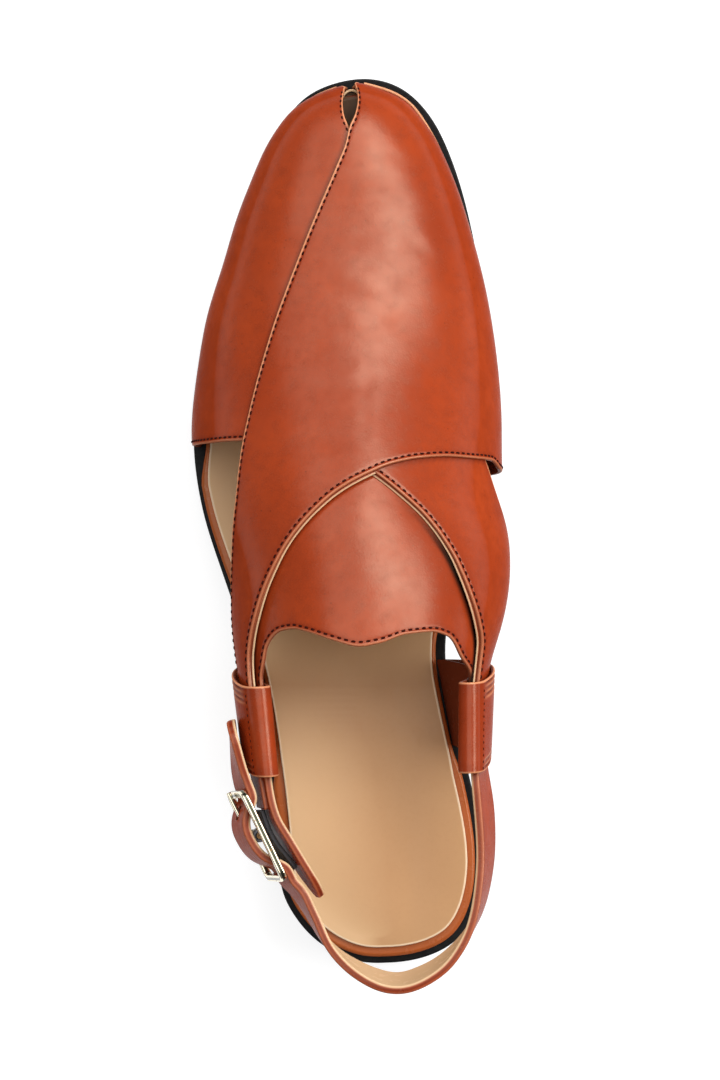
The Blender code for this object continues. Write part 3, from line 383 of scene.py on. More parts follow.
def outward(s, t, off):
    """Directions straight out of the surface at distance off outside the last."""
    return unit(lay(s, t, off + 1.0) - lay(s, t, off))


def edge(table):
    """Curve along an edge table, as a function of its share of the way, giving root of y and place round."""
    y, turn = np.array(table).T
    d = lengths(lay(root(y), turn))
    d = d / d[-1] + np.arange(len(d)) * 1e-6
    d = d / d[-1]
    curves = pchip(d, root(y)), pchip(d, turn)
    return lambda u: np.array([curve(u) for curve in curves])


class Panel:
    """Sheet over the last between two edge tables. Its places are shares u along the edges and w across, and
    offsets gives how far its inner and its outer face lie from the last."""

    def __init__(self, first, second, offsets):
        self.a, self.b, self.offsets = edge(first), edge(second), offsets
        self.u, self.w = np.linspace(0, 1, 200), np.linspace(0, 1, 60)
        run = np.diff(lay(*self.place(self.u[:, None], self.w)), axis=1)
        self.d = np.pad(np.cumsum(np.linalg.norm(run, axis=2), axis=1), ((0, 0), (1, 0)))

    def place(self, u, w):
        """Root of y and place round the last."""
        u = np.atleast_1d(u)
        s, t = (1 - w) * self.a(u) + w * self.b(u)
        return s, np.clip(t, -1, 1)

    def width(self, u):
        return float(np.interp(u, self.u, self.d[:, -1]))

    def at(self, u, mm):
        """Places at distances mm from the first edge, at one u."""
        return self.place(u, np.interp(mm, pick(self.d, self.u, u), self.w))

    def line(self, us, mm, second=True):
        """Places all along one edge, at distance mm from it."""
        return np.array([self.at(u, self.width(u) - mm if second else mm) for u in us])[..., 0].T

    def faces(self, s, t):
        """Distance of the inner and of the outer face from the last."""
        return self.offsets(Y_TIP - s * s, t)


# ---- meshes ----

def shape(name, verts, faces, mat, layers=None, slot="upper_leather", replaces=()):
    """One piece from points in millimetres, with its named values per point for the material."""
    mesh = bpy.data.meshes.new(name)
    mesh.from_pydata((np.asarray(verts, float) * MM).tolist(), [], [tuple(f) for f in faces])
    for key, values in (layers or {}).items():
        data = mesh.attributes.new(key, "FLOAT", "POINT").data
        data.foreach_set("value", np.asarray(values, np.float32).ravel())
    mesh.materials.append(mat)
    mesh.shade_smooth()
    obj = bpy.data.objects.new(name, mesh)
    bpy.context.scene.collection.objects.link(obj)
    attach(obj, "root")
    if replaces:
        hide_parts(*replaces)


def tube_faces(n, m, closed=False, caps=True):
    """Faces of n rings of m points each, set one after another."""
    i = np.arange(n if closed else n - 1)[:, None]
    j = np.arange(m)[None, :]
    a, b, k = i * m, ((i + 1) % n) * m, (j + 1) % m
    faces = np.stack([a + j, a + k, b + k, b + j], -1).reshape(-1, 4).tolist()
    if caps and not closed:
        faces += [list(range(m))[::-1], [(n - 1) * m + j for j in range(m)]]
    return faces


def tube(name, rings, mat, layers=None, closed=False, caps=True, **facts):
    """One piece from rings of points, set one after another."""
    rings = np.asarray(rings, float)
    n, m = rings.shape[:2]
    shape(name, rings.reshape(-1, 3), tube_faces(n, m, closed, caps), mat, layers, **facts)


def circle(count):
    """Even angles round a full turn."""
    return np.linspace(0, 2 * math.pi, count, endpoint=False)


def both(values):
    """Values across the outer face of a piece, and back across its inner face between the same edges."""
    return np.concatenate([values, values[-2:0:-1]])


def stations(wide, count, edges=1.0):
    """Distances across a width, crowded at its edges by EDGE_STEPS times a share, evenly between them."""
    near = np.array(EDGE_STEPS) * edges
    return np.concatenate([near, np.linspace(near[-1], wide - near[-1], count)[1:-1], (wide - near)[::-1]])


def edge_round(d, power=2.4):
    """Share of the full thickness at distance d from a cut edge."""
    x = np.clip(1 - d / EDGE_R, 0, 1)
    return (1 - x ** power) ** (1 / power)


def contact(points, curve, reach):
    """How closely points lie to a curve, 1 on it and 0 from a reach away: painted shade along a step."""
    far = [np.min(np.linalg.norm(part[:, None] - curve[None], axis=2), axis=1)
           for part in np.array_split(points, 40)]
    return 1 - smooth(0.0, reach, np.concatenate(far))


def trough(d):
    """Depth of the trough under a stitch row, at distance d from the leather's edge."""
    return GROOVE * np.exp(-((d - SEAM_IN) / GROOVE_W) ** 2)


def creased(points):
    """Depth at each point of the soft listed creases, each a trough with a low ridge beside it."""
    deep = np.zeros(len(points))
    for (x0, y0), (x1, y1), wide, depth in CREASES:
        run = np.array([x1 - x0, y1 - y0])
        far = (points[:, :2] - (x0, y0)) @ run / (run @ run)
        off = (points[:, :2] - (x0, y0)) @ np.array([-run[1], run[0]]) / np.linalg.norm(run)
        off = off + 0.04 * np.linalg.norm(run) * np.sin(math.pi * far)
        fade = smooth(-0.1, 0.25, far) * smooth(1.1, 0.75, far)
        deep += depth * fade * (np.exp(-(off / wide) ** 2) - 0.6 * np.exp(-((off - 1.8 * wide) / wide) ** 2))
    return deep


def sheet(name, panel, rows, count, mat, seams=(True, True), crowd=1.4, relief=False, steps=(), gap=None,
          **facts):
    """Leather over the last with rounded cut edges, a trough under each stitch row, and its lining inside.
    relief says whether it is creased, steps are edges of the leather that lies on it, beside which shade is
    painted, and gap is an edge that it falls away from, along which a dark shadow is painted. The inside's
    low parts get painted shade."""
    rings, layers = [], {key: [] for key in ("rim", "burn", "shade", "lining", "deep")}
    for u in np.linspace(0, 1, rows) ** crowd:
        wide = panel.width(u)
        mm = stations(wide, count, min(1.0, wide / 8.0))
        s, t = panel.at(u, mm)
        low, high = panel.faces(s, t)
        near = np.minimum(mm, wide - mm)
        dip = trough(mm) * seams[0] + trough(wide - mm) * seams[1]
        if relief:
            dip = dip + creased(lay(s, t, high))
        mid, half = (low + high) / 2, (high - low) / 2 * edge_round(near)
        outer = lay(s, t, mid + half - dip * smooth(0, 0.6, near))
        rings.append(np.concatenate([outer, lay(s, t, mid - half)[-2:0:-1]]))
        d, inside = both(near), np.arange(len(rings[0])) >= len(mm)
        layers["rim"].append(np.where(both(mm < wide / 2), 1 - smooth(0.65, 1.05, d),
                                      ARC_RIM * (1 - smooth(0.4, 0.8, d))))
        layers["burn"].append(1 - smooth(0.6, 4.5, d))
        layers["shade"].append(1 - smooth(0.0, 0.03, d))
        layers["lining"].append(inside * smooth(0.05, 0.2, d))
        # painted shade: the lining darkens on the low parts of the panel's inside
        layers["deep"].append(inside * smooth(0.35, 0.50, np.abs(both(t))))
    layers, flat = {key: np.concatenate(v) for key, v in layers.items()}, np.concatenate(rings)
    # painted shade beside the foot of each step that lies on this sheet
    for curve in steps:
        layers["shade"] = np.maximum(layers["shade"], contact(flat, curve, STEP_SHADE))
    # painted shadow: a near-black band on the tongue along the under panel's arc
    if gap is not None:
        layers["gap"] = smooth(0.0, 0.5, contact(flat, gap, GAP_SHADE)) * smooth(*GAP_FADE, flat[:, 1])
    tube(name, rings, mat, layers, **facts)


def stitches(name, rows, mat, pitch=PITCH, length=STITCH, radius=THREAD):
    """One piece of small raised stitches along several rows, each given as points and normals."""
    turn, steps = circle(8), np.linspace(-1, 1, 7)
    one = tube_faces(len(steps), len(turn))
    verts, faces = [], []
    for points, normals in rows:
        d = lengths(points)
        for k in range(int((d[-1] - 2 * ROW_START) / pitch)):
            mid = ROW_START + (k + 0.5) * pitch
            ahead = unit(pick(points, d, mid + length / 2) - pick(points, d, mid - length / 2))
            up = pick(normals, d, mid)
            up = unit(up - ahead * np.dot(up, ahead))
            side = np.cross(up, ahead)
            faces += [[len(verts) + v for v in f] for f in one]
            for v in steps:
                fat = radius * math.sqrt(max(1 - abs(v) ** 4, 0.02))
                lift = radius * (0.35 - 0.55 * abs(v) ** 3)
                centre = pick(points, d, mid) + ahead * v * length / 2 + up * lift
                verts += [centre + side * fat * math.cos(g) + up * fat * math.sin(g) for g in turn]
    shape(name, verts, faces, mat)


def panel_edge(panel, second):
    """Points along the first or the second edge of a panel, at the middle of its thickness."""
    s, t = panel.line(np.linspace(0, 1, 500), 0.0, second)
    low, high = panel.faces(s, t)
    return lay(s, t, (low + high) / 2)


def panel_row(panel, second, u0, u1=1.0):
    """Points and normals of the stitch row along the first or the second edge, between two shares."""
    s, t = panel.line(np.linspace(u0, u1, 500), SEAM_IN, second)
    high = panel.faces(s, t)[1] - GROOVE
    return lay(s, t, high), outward(s, t, high)


# ---- leather of the upper ----

def over_offsets(y, t):
    """The over panel rides on the under panel and comes down on the last toward its own foot line."""
    start = 0.65 - 0.53 * np.clip((y - 123.0) / 112.0, 0, 1)      # place round the last where it comes down
    lift = OVER_LIFT * (1 - 0.8 * smooth(start, 1.0, t))
    return lift, lift + OVER_T


def under_offsets(y, t):
    return 0.0 * t, 0.0 * t + UNDER_T


def tongue_offsets(y, t):
    """The tongue lies just under the panels, and its medial side sinks away from the under panel's edge."""
    sunk = smooth(0.2, 0.5, t) * smooth(112.0, 90.0, y) * smooth(66.0, 84.0, y)
    top = -GAP - TONGUE_GAP - TONGUE_SINK * sunk
    return top - TONGUE_T, top


def lining_edge(name, panel, u0, u1, mat):
    """Edge of the lining that shows past the second edge of a panel, as a thin strip under it."""
    u = np.linspace(u0, u1, 420)
    s, t = panel.line(u, 0.0)
    low = panel.faces(s, t)[0]
    rim = lay(s, t, low)
    past = unit(rim - lay(*panel.line(u, 1.0), low))
    show = LINING_SHOW * smooth(u0, u0 + 0.03, u) * (0.75 + 0.25 * np.sin(17.0 * u))     # trimmed by hand
    turn = circle(14)
    x, y = np.sign(np.cos(turn)) * np.abs(np.cos(turn)) ** 0.5, np.sin(turn)
    rings = (rim[:, None] + past[:, None] * (show[:, None, None] - 1.0 + x[:, None])
             + outward(s, t, low)[:, None] * (y[:, None] * LINING_T / 2 - LINING_T / 4))
    light = np.tile(smooth(0.55, 0.95, x), len(u))
    tube(name, rings, mat, {"burn": 1 - light, "lining": light})


def cord(name, points, out, wide, high, mat, **layers):
    """Thin flat strip along points, as wide as said in the out directions, with the same layers all over."""
    turn = circle(10)
    rings = [p + np.outer(np.cos(turn) * wide / 2, n) + np.outer(np.sin(turn) * high / 2, (0.0, 0.0, 1.0))
             for p, n in zip(points, out)]
    tube(name, rings, mat, {key: np.full(len(turn) * len(points), v) for key, v in layers.items()})


def make_foot_line(leather, footbed):
    """Light cut edge of the upper's lasted margin, on the outsole all along its foot line and at the slit,
    and the lining folded down behind the slit's front end, painted dark all over as the shade inside the toe."""
    for (name, side, rear, past), offsets in zip(FOOT_LINES, (under_offsets, over_offsets)):
        s = np.linspace(root(FOOT_LINE_FRONT), root(rear), 300)
        high = offsets(Y_TIP - s * s, side)[1]
        out = unit(outward(s, side, high) * (1.0, 1.0, 0.0))
        p = lay(s, side, high)
        p = p + out * (FOOT_EDGE * 0.3 + past * smooth(150.0, 225.0, p[:, 1]))[:, None]
        p[:, 2] = sole_z(p[:, 1]) + SOLE_T + FOOT_EDGE * 0.45
        cord(name, p, out, FOOT_EDGE, FOOT_EDGE * 0.8, leather, rim=1.0, lining=0.25)
    p = through(TOE_EDGE, 40)
    cord("toe_edge", p, unit(p * (1.0, 1.0, 0.0) - TOE_CENTRE), FOOT_EDGE, 1.0, leather, lining=1.0)
    rings, x = [], np.linspace(*TOE_LINING_X, 12)
    for y, lift in TOE_LINING:
        top = np.column_stack([x, 0 * x + y, sole_z(y) + lift - 0.02 * (x - TOE_CENTRE[0]) ** 2])
        rings.append(np.concatenate([top, (top - (0.0, 0.0, 0.5))[::-1]]))
    # painted shade: the whole lining behind the slit is dark, for the shade inside the toe
    tube("toe_lining_painted_shade", rings, footbed, {"deep": np.ones(2 * len(x) * len(rings))})


def make_upper(leather, thread):
    over, under = Panel(OVER_SEAM, OVER_ARC, over_offsets), Panel(UNDER_EDGE, UNDER_ARC, under_offsets)
    tongue = Panel(TONGUE_FRONT, TONGUE_REAR, tongue_offsets)
    seam, over_arc, under_arc = panel_edge(over, False), panel_edge(over, True), panel_edge(under, True)
    sheet("over_panel", over, 230, 62, leather, relief=True)
    sheet("under_panel", under, 200, 52, leather, seams=(False, True), relief=True, steps=(seam, over_arc),
          replaces=("upper",))
    sheet("tongue_leather", tongue, 150, 52, leather, seams=(False, True), crowd=1.0,
          steps=(over_arc, under_arc), gap=under_arc[GAP_ROWS], replaces=("tongue",))
    lining_edge("over_lining_edge", over, 0.27, 0.99, leather)
    lining_edge("under_lining_edge", under, 0.42, 0.99, leather)
    stitches("upper_stitches", [panel_row(over, False, 0.035), panel_row(over, True, 0.02),
                                panel_row(under, True, 0.02), panel_row(under, False, 0.035, 0.13),
                                panel_row(tongue, True, 0.02, 0.98)], thread)


def make_loop(name, table, leather):
    """Folded loop of leather: rings round its section, one after another along the shoe, with the seams that
    run beside its edges on the outer leaf, painted dark as shade in their grooves with a painted highlight
    on the lip beside each. Its inner leaf and the inside of the fold get painted shade. Gives the points and
    normals of its stitch row."""
    turned = math.copysign(1.0, table[0][1] - table[-1][1])
    share = np.linspace(0, 1, LOOP_COUNT)
    outer_leaf, inside = smooth(*LOOP_OUTER, share), 1 - smooth(*LOOP_INSIDE, share)
    rings, row, layers = [], [], {"rim": [], "burn": [], "shade": [], "deep": []}
    for mm in stations(LOOP_LENGTH, 60):
        y = LOOP_REAR[name] + mm
        pts = [(xr + (xf - xr) * mm / LOOP_LENGTH, y + LOOP_RAKE * smooth(72.0, 30.0, z), z)
               for z, xr, xf in table]
        mid = through(pts, LOOP_COUNT)
        t = unit(np.gradient(mid[:, [0, 2]], axis=0))
        n = np.stack([t[:, 1], 0 * t[:, 0], -t[:, 0]], 1) * turned
        near = min(mm, LOOP_LENGTH - mm)
        half = LOOP_T / 2 * edge_round(near)
        off = np.array([LOOP_LENGTH - mm - at for at in LOOP_SEAMS] + [mm - at for at in LOOP_SEAMS[:2]])
        seam = np.sum(np.exp(-(off / LOOP_SEAM_W) ** 2)) * outer_leaf
        # painted highlight: a light lip beside each seam groove
        lip = np.sum(np.exp(-((off - 0.75) / LOOP_SEAM_W) ** 2)) * outer_leaf
        outer = mid + n * (half - LOOP_SEAM_DEEP * seam)[:, None]
        rings.append(np.concatenate([outer, (mid - n * half)[::-1]]))
        row.append((mid[LOOP_ROW] + n[LOOP_ROW] * half, n[LOOP_ROW]))
        # rim: the cut edge's own light colour, plus the painted highlight on the lips
        layers["rim"] += [1 - smooth(0.35, 0.7, near) + 0.6 * lip, 1 - smooth(0.35, 0.7, near) + 0 * lip]
        layers["burn"] += [1 - smooth(0.6, 5.0, near) + 0 * share] * 2
        # painted shade in the seam grooves and along the middle of the cut edge
        layers["shade"] += [seam + (near < 0.01), 0 * seam + (near < 0.01)]
        # painted shade on the inner leaf and all over the inside of the fold
        layers["deep"] += [inside, 1 + 0 * share]
    tube(name + "_leather", rings, leather, layers, caps=False, replaces=(name,))
    return np.array(row).transpose(1, 0, 2)


# ---- straps and buckle ----

def headed(table, sign=1.0):
    """The rows with the plan direction that faces away from the foot added."""
    p = np.array(table, float)
    t = unit(np.gradient(p[:, :2], axis=0))
    return np.column_stack([p, -t[:, 1] * sign, t[:, 0] * sign])


def strap_section(height, thick, slot=()):
    """Offsets (out, down) round a strap's section from the top of its outer face, with its layers."""
    fall = stations(height, 12)
    for at in slot:
        fall[np.argmin(np.abs(fall - at))] = at
    near = np.minimum(fall, height - fall)
    face = np.repeat([1.0, -1.0], [len(fall), len(fall) - 2])
    d, outer = both(near), face > 0
    section = np.column_stack([face * thick / 2 * edge_round(d), both(fall) - height / 2])
    return section, {"rim": outer * (1 - smooth(0.4, 0.75, d)) * smooth(0.0, 0.1, d) * 0.25,
                     "lining": ~outer * smooth(0.03, 0.10, d), "burn": outer * (1 - smooth(0.7, 4.0, d)),
                     "shade": (1 - smooth(0.0, 0.03, d)) * 0.8}


def band(rows, shares, height, thick, tip_len=None, slot=()):
    """Rings and layers of a strap standing on edge along headed rows; a tip length rounds its last end."""
    p = through(rows, shares)
    d, t = lengths(p[:, :3]), np.gradient(p[:, :3], axis=0)
    lean, n = np.radians(p[:, 3:4]), unit(np.column_stack([p[:, 4:6], 0 * p[:, 0]]))
    down = n * np.sin(lean) - np.cos(lean) * (0.0, 0.0, 1.0)
    wide = unit(np.cross(down, t))
    wide *= np.sign(np.sum(wide * n, axis=1, keepdims=True))
    tall = np.ones(len(d))
    if tip_len:
        tall = np.sqrt(1 - np.clip(1 - (d[-1] - d) / tip_len, 0, 1) ** 2).clip(0.02)
    thin = np.clip(tall / 0.3, 0.15, 1)
    section, layers = strap_section(height, thick, slot)
    out, fall = section[:, :1], section[:, 1:]
    rings = ((p[:, :3] + down * height / 2)[:, None] + fall * (tall[:, None] * down)[:, None]
             + out * (thin[:, None] * wide)[:, None])
    return rings, {key: np.tile(v, len(rings)) for key, v in layers.items()}


def frame_point(a, h, o):
    """Points by distance along the buckle from its rear bar, down from its top bar, and out of its plane."""
    ax = unit(np.array([*FRAME_FRONT, 0.0]) - (*FRAME_REAR, 0.0))
    side, up, lean = np.array([-ax[1], ax[0], 0.0]), np.array([0.0, 0.0, 1.0]), math.radians(FRAME_LEAN)
    down, out = side * math.sin(lean) - up * math.cos(lean), side * math.cos(lean) + up * math.sin(lean)
    rear = np.array([*FRAME_REAR, FRAME_TOP])
    return rear + np.multiply.outer(a, ax) + np.multiply.outer(h, down) + np.multiply.outer(o, out)


def tip_shares(count, dense, tail):
    """Shares along a strap that crowd toward its rounded end."""
    return np.concatenate([np.linspace(0, 1 - tail, count, endpoint=False),
                           1 - tail * (1 - np.linspace(0, 1, dense)) ** 1.8])


def pierced(rings, height_rows):
    """Faces of the strap's rings with the slot left open: its walls join the outer and the inner face."""
    n, m = rings.shape[:2]
    middle = rings.mean(axis=1)
    i0, i1 = (int(np.argmin(np.linalg.norm(middle - frame_point(a, MID_H, o), axis=1))) for a, o in SLOT)
    fall = strap_section(STRAP_H, STRAP_T, height_rows)[0][:m // 2 + 1, 1] + STRAP_H / 2
    j0, j1 = (int(np.argmin(np.abs(fall - at))) for at in height_rows)
    gone = {i * m + j for i in range(i0, i1) for j in range(j0, j1)}
    gone |= {(i - SLOT_BACK) * m + m - j - 1 for i in range(i0, i1) for j in range(j0, j1)}
    faces = [f for f in tube_faces(n, m) if len(f) > 4 or f[0] not in gone]
    rim = [(i, j0) for i in range(i0, i1)] + [(i1, j) for j in range(j0, j1)]
    rim += [(i, j1) for i in range(i1, i0, -1)] + [(i0, j) for j in range(j1, j0, -1)]
    for (i, j), (p, q) in zip(rim, rim[1:] + rim[:1]):
        faces.append([i * m + j, p * m + q, (p - SLOT_BACK) * m + m - q, (i - SLOT_BACK) * m + m - j])
    return faces


def make_straps(leather):
    facing = (frame_point(0, 0, 1) - frame_point(0, 0, 0))[:2]
    woven = [(*frame_point(a, STRAP_IN_FRAME, o), FRAME_LEAN, *unit(facing)) for a, o in WEAVE]
    rows = np.concatenate([headed(HEEL_STRAP), woven, headed(STRAP_END)])
    height_rows = (MID_H - STRAP_IN_FRAME - SLOT_H / 2, MID_H - STRAP_IN_FRAME + SLOT_H / 2)
    rings, layers = band(rows, tip_shares(330, 30, 0.045), STRAP_H, STRAP_T, STRAP_TIP, height_rows)
    shape("heel_strap_leather", rings.reshape(-1, 3), pierced(rings, height_rows), leather, layers,
          replaces=("heel_strap",))
    rings, layers = band(headed(TAB, -1.0), tip_shares(90, 30, 0.15), TAB_H, TAB_T, TAB_TIP)
    tube("tab_leather", rings, leather, layers, replaces=("buckle_tab",))
    rings, layers = band(headed(TAB_COVER, -1.0), 40, COVER_H, COVER_T)
    tube("tab_cover_leather", rings, leather, layers)


def rounded_box(width, height, radius, count, between):
    """Outline of a rectangle round 0 with rounded corners, and points at shares of its straight sides."""
    turn = np.arange(4)[:, None] * math.pi / 2 + np.linspace(0, math.pi / 2, count)
    corner = np.array([(1, 1), (-1, 1), (-1, -1), (1, -1)]) * (width / 2 - radius, height / 2 - radius)
    arcs = corner[:, None] + radius * np.stack([np.cos(turn), np.sin(turn)], -1)
    side = np.roll(arcs, -1, axis=0)[:, :1] - arcs[:, -1:]
    return np.concatenate([arcs, arcs[:, -1:] + side * np.array(between)[:, None]], axis=1).reshape(-1, 2)


def buckle_bar(name, points, width, height, bevel, mat, closed=False, side=(0.0, 0.0, 1.0), **facts):
    """Bevelled bar along points given as along, down, out; its flat faces are marked as deep, for the painted
    dark reflection on them.
    """
    outline = rounded_box(width, height, bevel, 4, (0.225, 0.775))
    ahead, back = np.roll(points, -1, axis=0), np.roll(points, 1, axis=0)
    t = unit(ahead - back if closed else np.gradient(points, axis=0))
    x = unit(np.cross(t, side))
    rings = points[:, None] + outline[:, :1] * x[:, None] + outline[:, 1:] * np.cross(x, t)[:, None]
    flat = np.tile([0.0, 0.0, 0.0, 0.0, 1.0, 1.0], 4 * len(points))
    tube(name, frame_point(*np.moveaxis(rings, -1, 0)), mat, {"deep": flat}, closed=closed, **facts)


def buckle_eye(name, low, high, mat, slot):
    """Eye round the frame's middle bar, between two heights."""
    bevel = (EYE - BORE) * 0.3
    r, h = np.array([(BORE + bevel, low), (EYE - bevel, low), (EYE, low + bevel), (EYE, high - bevel),
                     (EYE - bevel, high), (BORE + bevel, high), (BORE, high - bevel), (BORE, low + bevel)]).T
    rings = [frame_point(MID_A + r * math.cos(g), h, r * math.sin(g)) for g in circle(32)]
    tube(name, rings, mat, closed=True, slot=slot)


def make_buckle(metal, elastic):
    path = rounded_box(LENGTH, HIGH, CORNER, 10, (0.05, 0.35, 0.65, 0.95)) + (MID_A, MID_H)
    path = np.column_stack([path, 0 * path[:, 0]])
    buckle_bar("buckle_frame_metal", path, BAR, BAR, 0.5, metal, closed=True, slot="buckle_metal",
               replaces=("buckle_frame",))
    turn = circle(24)
    rod = [frame_point(MID_A + PIN * np.cos(turn), h, PIN * np.sin(turn)) for h in (0.0, HIGH)]
    tube("centre_bar", rod, metal, slot="buckle_metal")
    path = through([(a, MID_H, o) for a, o in PRONG_LINE], 24)
    buckle_bar("buckle_prong_metal", path, PRONG, PRONG, 0.45, metal, side=(0.0, 1.0, 0.0),
               slot="buckle_metal", replaces=("buckle_prong",))
    buckle_eye("prong_eye", MID_H - PRONG_EYE_H / 2, MID_H + PRONG_EYE_H / 2, metal, "buckle_metal")
    rings, _ = band(headed(ELASTIC, -1.0), 60, ELASTIC_H, ELASTIC_T)
    tube("elastic_band", rings, elastic, slot="elastic", replaces=("buckle_elastic",))
    for k, (low, high) in enumerate(EYES, 1):
        buckle_eye(f"elastic_eye_{k}", MID_H + low, MID_H + high, elastic, "elastic")
        web = np.array([(MID_A + WEB_A, MID_H + h, WEB_O) for h in (low + 0.01, high - 0.01)])
        buckle_bar(f"elastic_web_{k}", web, WEB_W, WEB_H, 0.3, elastic, slot="elastic")


# ---- bottom ----

def outline():
    """Lateral and medial halves of the outsole's edge from heel to toe, each with its inward normals."""
    pts = np.array(OUTSOLE)
    count, tip = len(pts), int(np.argmax(pts[:, 1]))
    s, wrap = np.arange(-6, count + 7), np.concatenate([pts[-6:], pts, pts[:7]])
    edge_at = [spline(s, column) for column in wrap.T]

    def half(start):
        u = np.linspace(start, tip, 3000)
        y = edge_at[1](u)
        share = (1 - np.cos(np.linspace(0, math.pi, SOLE_STEPS + 1))) / 2
        u = np.interp(share, (y - y[0]) / (y[-1] - y[0]), u)
        p, after, before = (np.stack([at(u + step) for at in edge_at], 1) for step in (0.0, 0.01, -0.01))
        t = unit(after - before)
        return p, np.stack([t[:, 1], -t[:, 0]], 1)
    return half(0), half(count)


def slab(name, column, low, high, edge_mm, mat, stop=None, rim_mm=0.0, side_lines=(), **facts):
    """Plan-shaped layer with rounded edges, between two heights given by y. It stands in by a column of the
    insets and is cut straight at y stop; its top has a light rim, its sides may have lines pressed in."""
    halves = outline()
    insets = [np.interp(line[:, 1], *np.array(table).T[[0, column]]) * (column > 0)
              for (line, _), table in zip(halves, (INSETS_LAT, INSETS_MED))]
    for end in (0, -1):
        insets[0][end] = insets[1][end] = (insets[0][end] + insets[1][end]) / 2
    count = len(insets[0]) if stop is None else int(np.sum(halves[0][0][:, 1] < stop)) + 1

    def ring(extra):
        p, q = ((line + normal * (inset + extra)[:, None])[:count]
                for (line, normal), inset in zip(halves, insets))
        if stop is None:
            return np.concatenate([p, q[-2:0:-1]])
        for line in (p, q):
            f = (stop - line[-2, 1]) / (line[-1, 1] - line[-2, 1])
            line[-1] = line[-2] + f * (line[-1] - line[-2])
            line[-1, 1] -= extra
        return np.concatenate([p, q[:0:-1]])
    turn = np.linspace(0, math.pi / 2, 6)
    arc = edge_mm * (1 - np.stack([np.sin(turn), np.cos(turn)], 1))
    levels = [(extra, 0.0, lift) for extra, lift in arc]
    levels += [(depth, share, 0.0) for share, depth in side_lines]
    levels += [(extra, 1.0, -lift) for lift, extra in arc]
    levels += [(edge_mm + more, 1.0, 0.0) for more in TOP_STEPS]
    rows, rims = [], []
    for extra, share, lift in levels:
        loop = ring(extra)
        z0, z1 = low(loop[:, 1]), high(loop[:, 1])
        rows.append(np.column_stack([loop, z0 + (z1 - z0) * share + lift]))
        rims.append(np.full(len(loop), float(rim_mm > 0 and extra - edge_mm < rim_mm)))
    m, top = len(rows[0]), len(rows) - 1
    faces = tube_faces(top + 1, m, caps=False)
    for row, turned in ((0, -1), (top, 1)):
        for i in range(count - 1):
            strip = dict.fromkeys([i, i + 1, m - i - 1, (m - i) % m])
            faces.append([row * m + v for v in strip][::turned])
    flat = np.concatenate(rows)
    x, y = flat[:, 0], flat[:, 1]
    # painted light: the footbed is lighter at its lateral heel and through its middle
    heel = smooth(5.0, -10.0, x) * smooth(85.0, 35.0, y)
    middle = smooth(42.0, 75.0, y) * smooth(190.0, 150.0, y)
    # painted shade (deep): the board and footbed darken toward the toe, inside the toe box
    layers = {"rim": np.concatenate(rims), "wrap": np.ones(len(flat)), "deep": smooth(190.0, 215.0, y),
              "painted_light": np.maximum(heel, 0.9 * middle)}
    shape(name, flat, faces, mat, layers, **facts)


def make_bottom(rubber, leather, footbed):
    def above(height):
        return lambda y: sole_z(y) + height
    board = SOLE_T + GAP
    sock = board + BOARD_T + GAP
    slab("outsole_rubber", 0, sole_z, above(SOLE_T), 0.6, rubber, slot="sole_rubber", replaces=("outsole",))
    slab("heel_rubber", 0, lambda y: 0 * y, lambda y: 0 * y + HEEL_H - GAP, 0.5, rubber, stop=HEEL_FRONT,
         side_lines=((0.26, 0.0), (0.28, 0.35), (0.30, 0.0)), slot="sole_rubber", replaces=("heel_block",))
    slab("board_wrap", 1, above(board), above(board + BOARD_T), 1.2, leather, replaces=("insole_board",))
    slab("sock_leather", 2, above(sock), above(sock + SOCK_T), 0.35, footbed, rim_mm=0.3,
         slot="footbed_leather", replaces=("sock",))


# ---- materials ----

class Shader:
    """A node material made step by step from the object's own coordinates, in metres."""

    def __init__(self, name):
        self.mat = bpy.data.materials.new(name)
        self.mat.use_nodes = True
        self.tree = self.mat.node_tree
        self.where = self.node("TexCoord").outputs["Object"]

    def set(self, socket, value):
        """A number, a colour or another node's output for a socket."""
        if isinstance(value, (int, float)):
            socket.default_value = value
        elif isinstance(value, tuple):
            socket.default_value = (*value, 1.0)[:len(socket.default_value)]
        else:
            self.tree.links.new(value, socket)

    def node(self, kind, inputs=()):
        node = self.tree.nodes.new("ShaderNode" + kind)
        for key, value in dict(inputs).items():
            self.set(node.inputs[key], value)
        return node

    def noise(self, scale, detail=3.0, rough=0.55, stretch=None):
        where = self.where
        if stretch is not None:
            where = self.node("Mapping", {"Vector": where, "Scale": stretch}).outputs["Vector"]
        inputs = {"Vector": where, "Scale": scale, "Detail": detail, "Roughness": rough}
        return self.node("TexNoise", inputs).outputs["Fac"]

    def cells(self, scale):
        return self.node("TexVoronoi", {"Vector": self.where, "Scale": scale}).outputs["Distance"]

    def layer(self, name):
        node = self.node("Attribute")
        node.attribute_name = name
        return node.outputs["Fac"]

    def span(self, value, a, b, c=0.0, d=1.0):
        """Value between a and b turned to one between c and d, held at both ends."""
        inputs = {"Value": value, "From Min": a, "From Max": b, "To Min": c, "To Max": d}
        return self.node("MapRange", inputs).outputs["Result"]

    def product(self, a, b):
        node = self.node("Math", {0: a, 1: b})
        node.operation = "MULTIPLY"
        return node.outputs[0]

    def mix(self, share, a, b):
        node = self.node("Mix", {0: share, 6: a, 7: b})
        node.data_type = "RGBA"
        return node.outputs[2]

    def bump(self, height, distance, strength=1.0, normal=None):
        inputs = {"Height": height, "Distance": distance, "Strength": strength}
        if normal is not None:
            inputs["Normal"] = normal
        return self.node("Bump", inputs).outputs["Normal"]

    def finish(self, **sockets):
        """The material, with what goes into the sockets of its Principled BSDF."""
        bsdf = self.tree.nodes["Principled BSDF"]
        for key, value in sockets.items():
            self.set(bsdf.inputs[key.replace("_", " ")], value)
        return self.mat


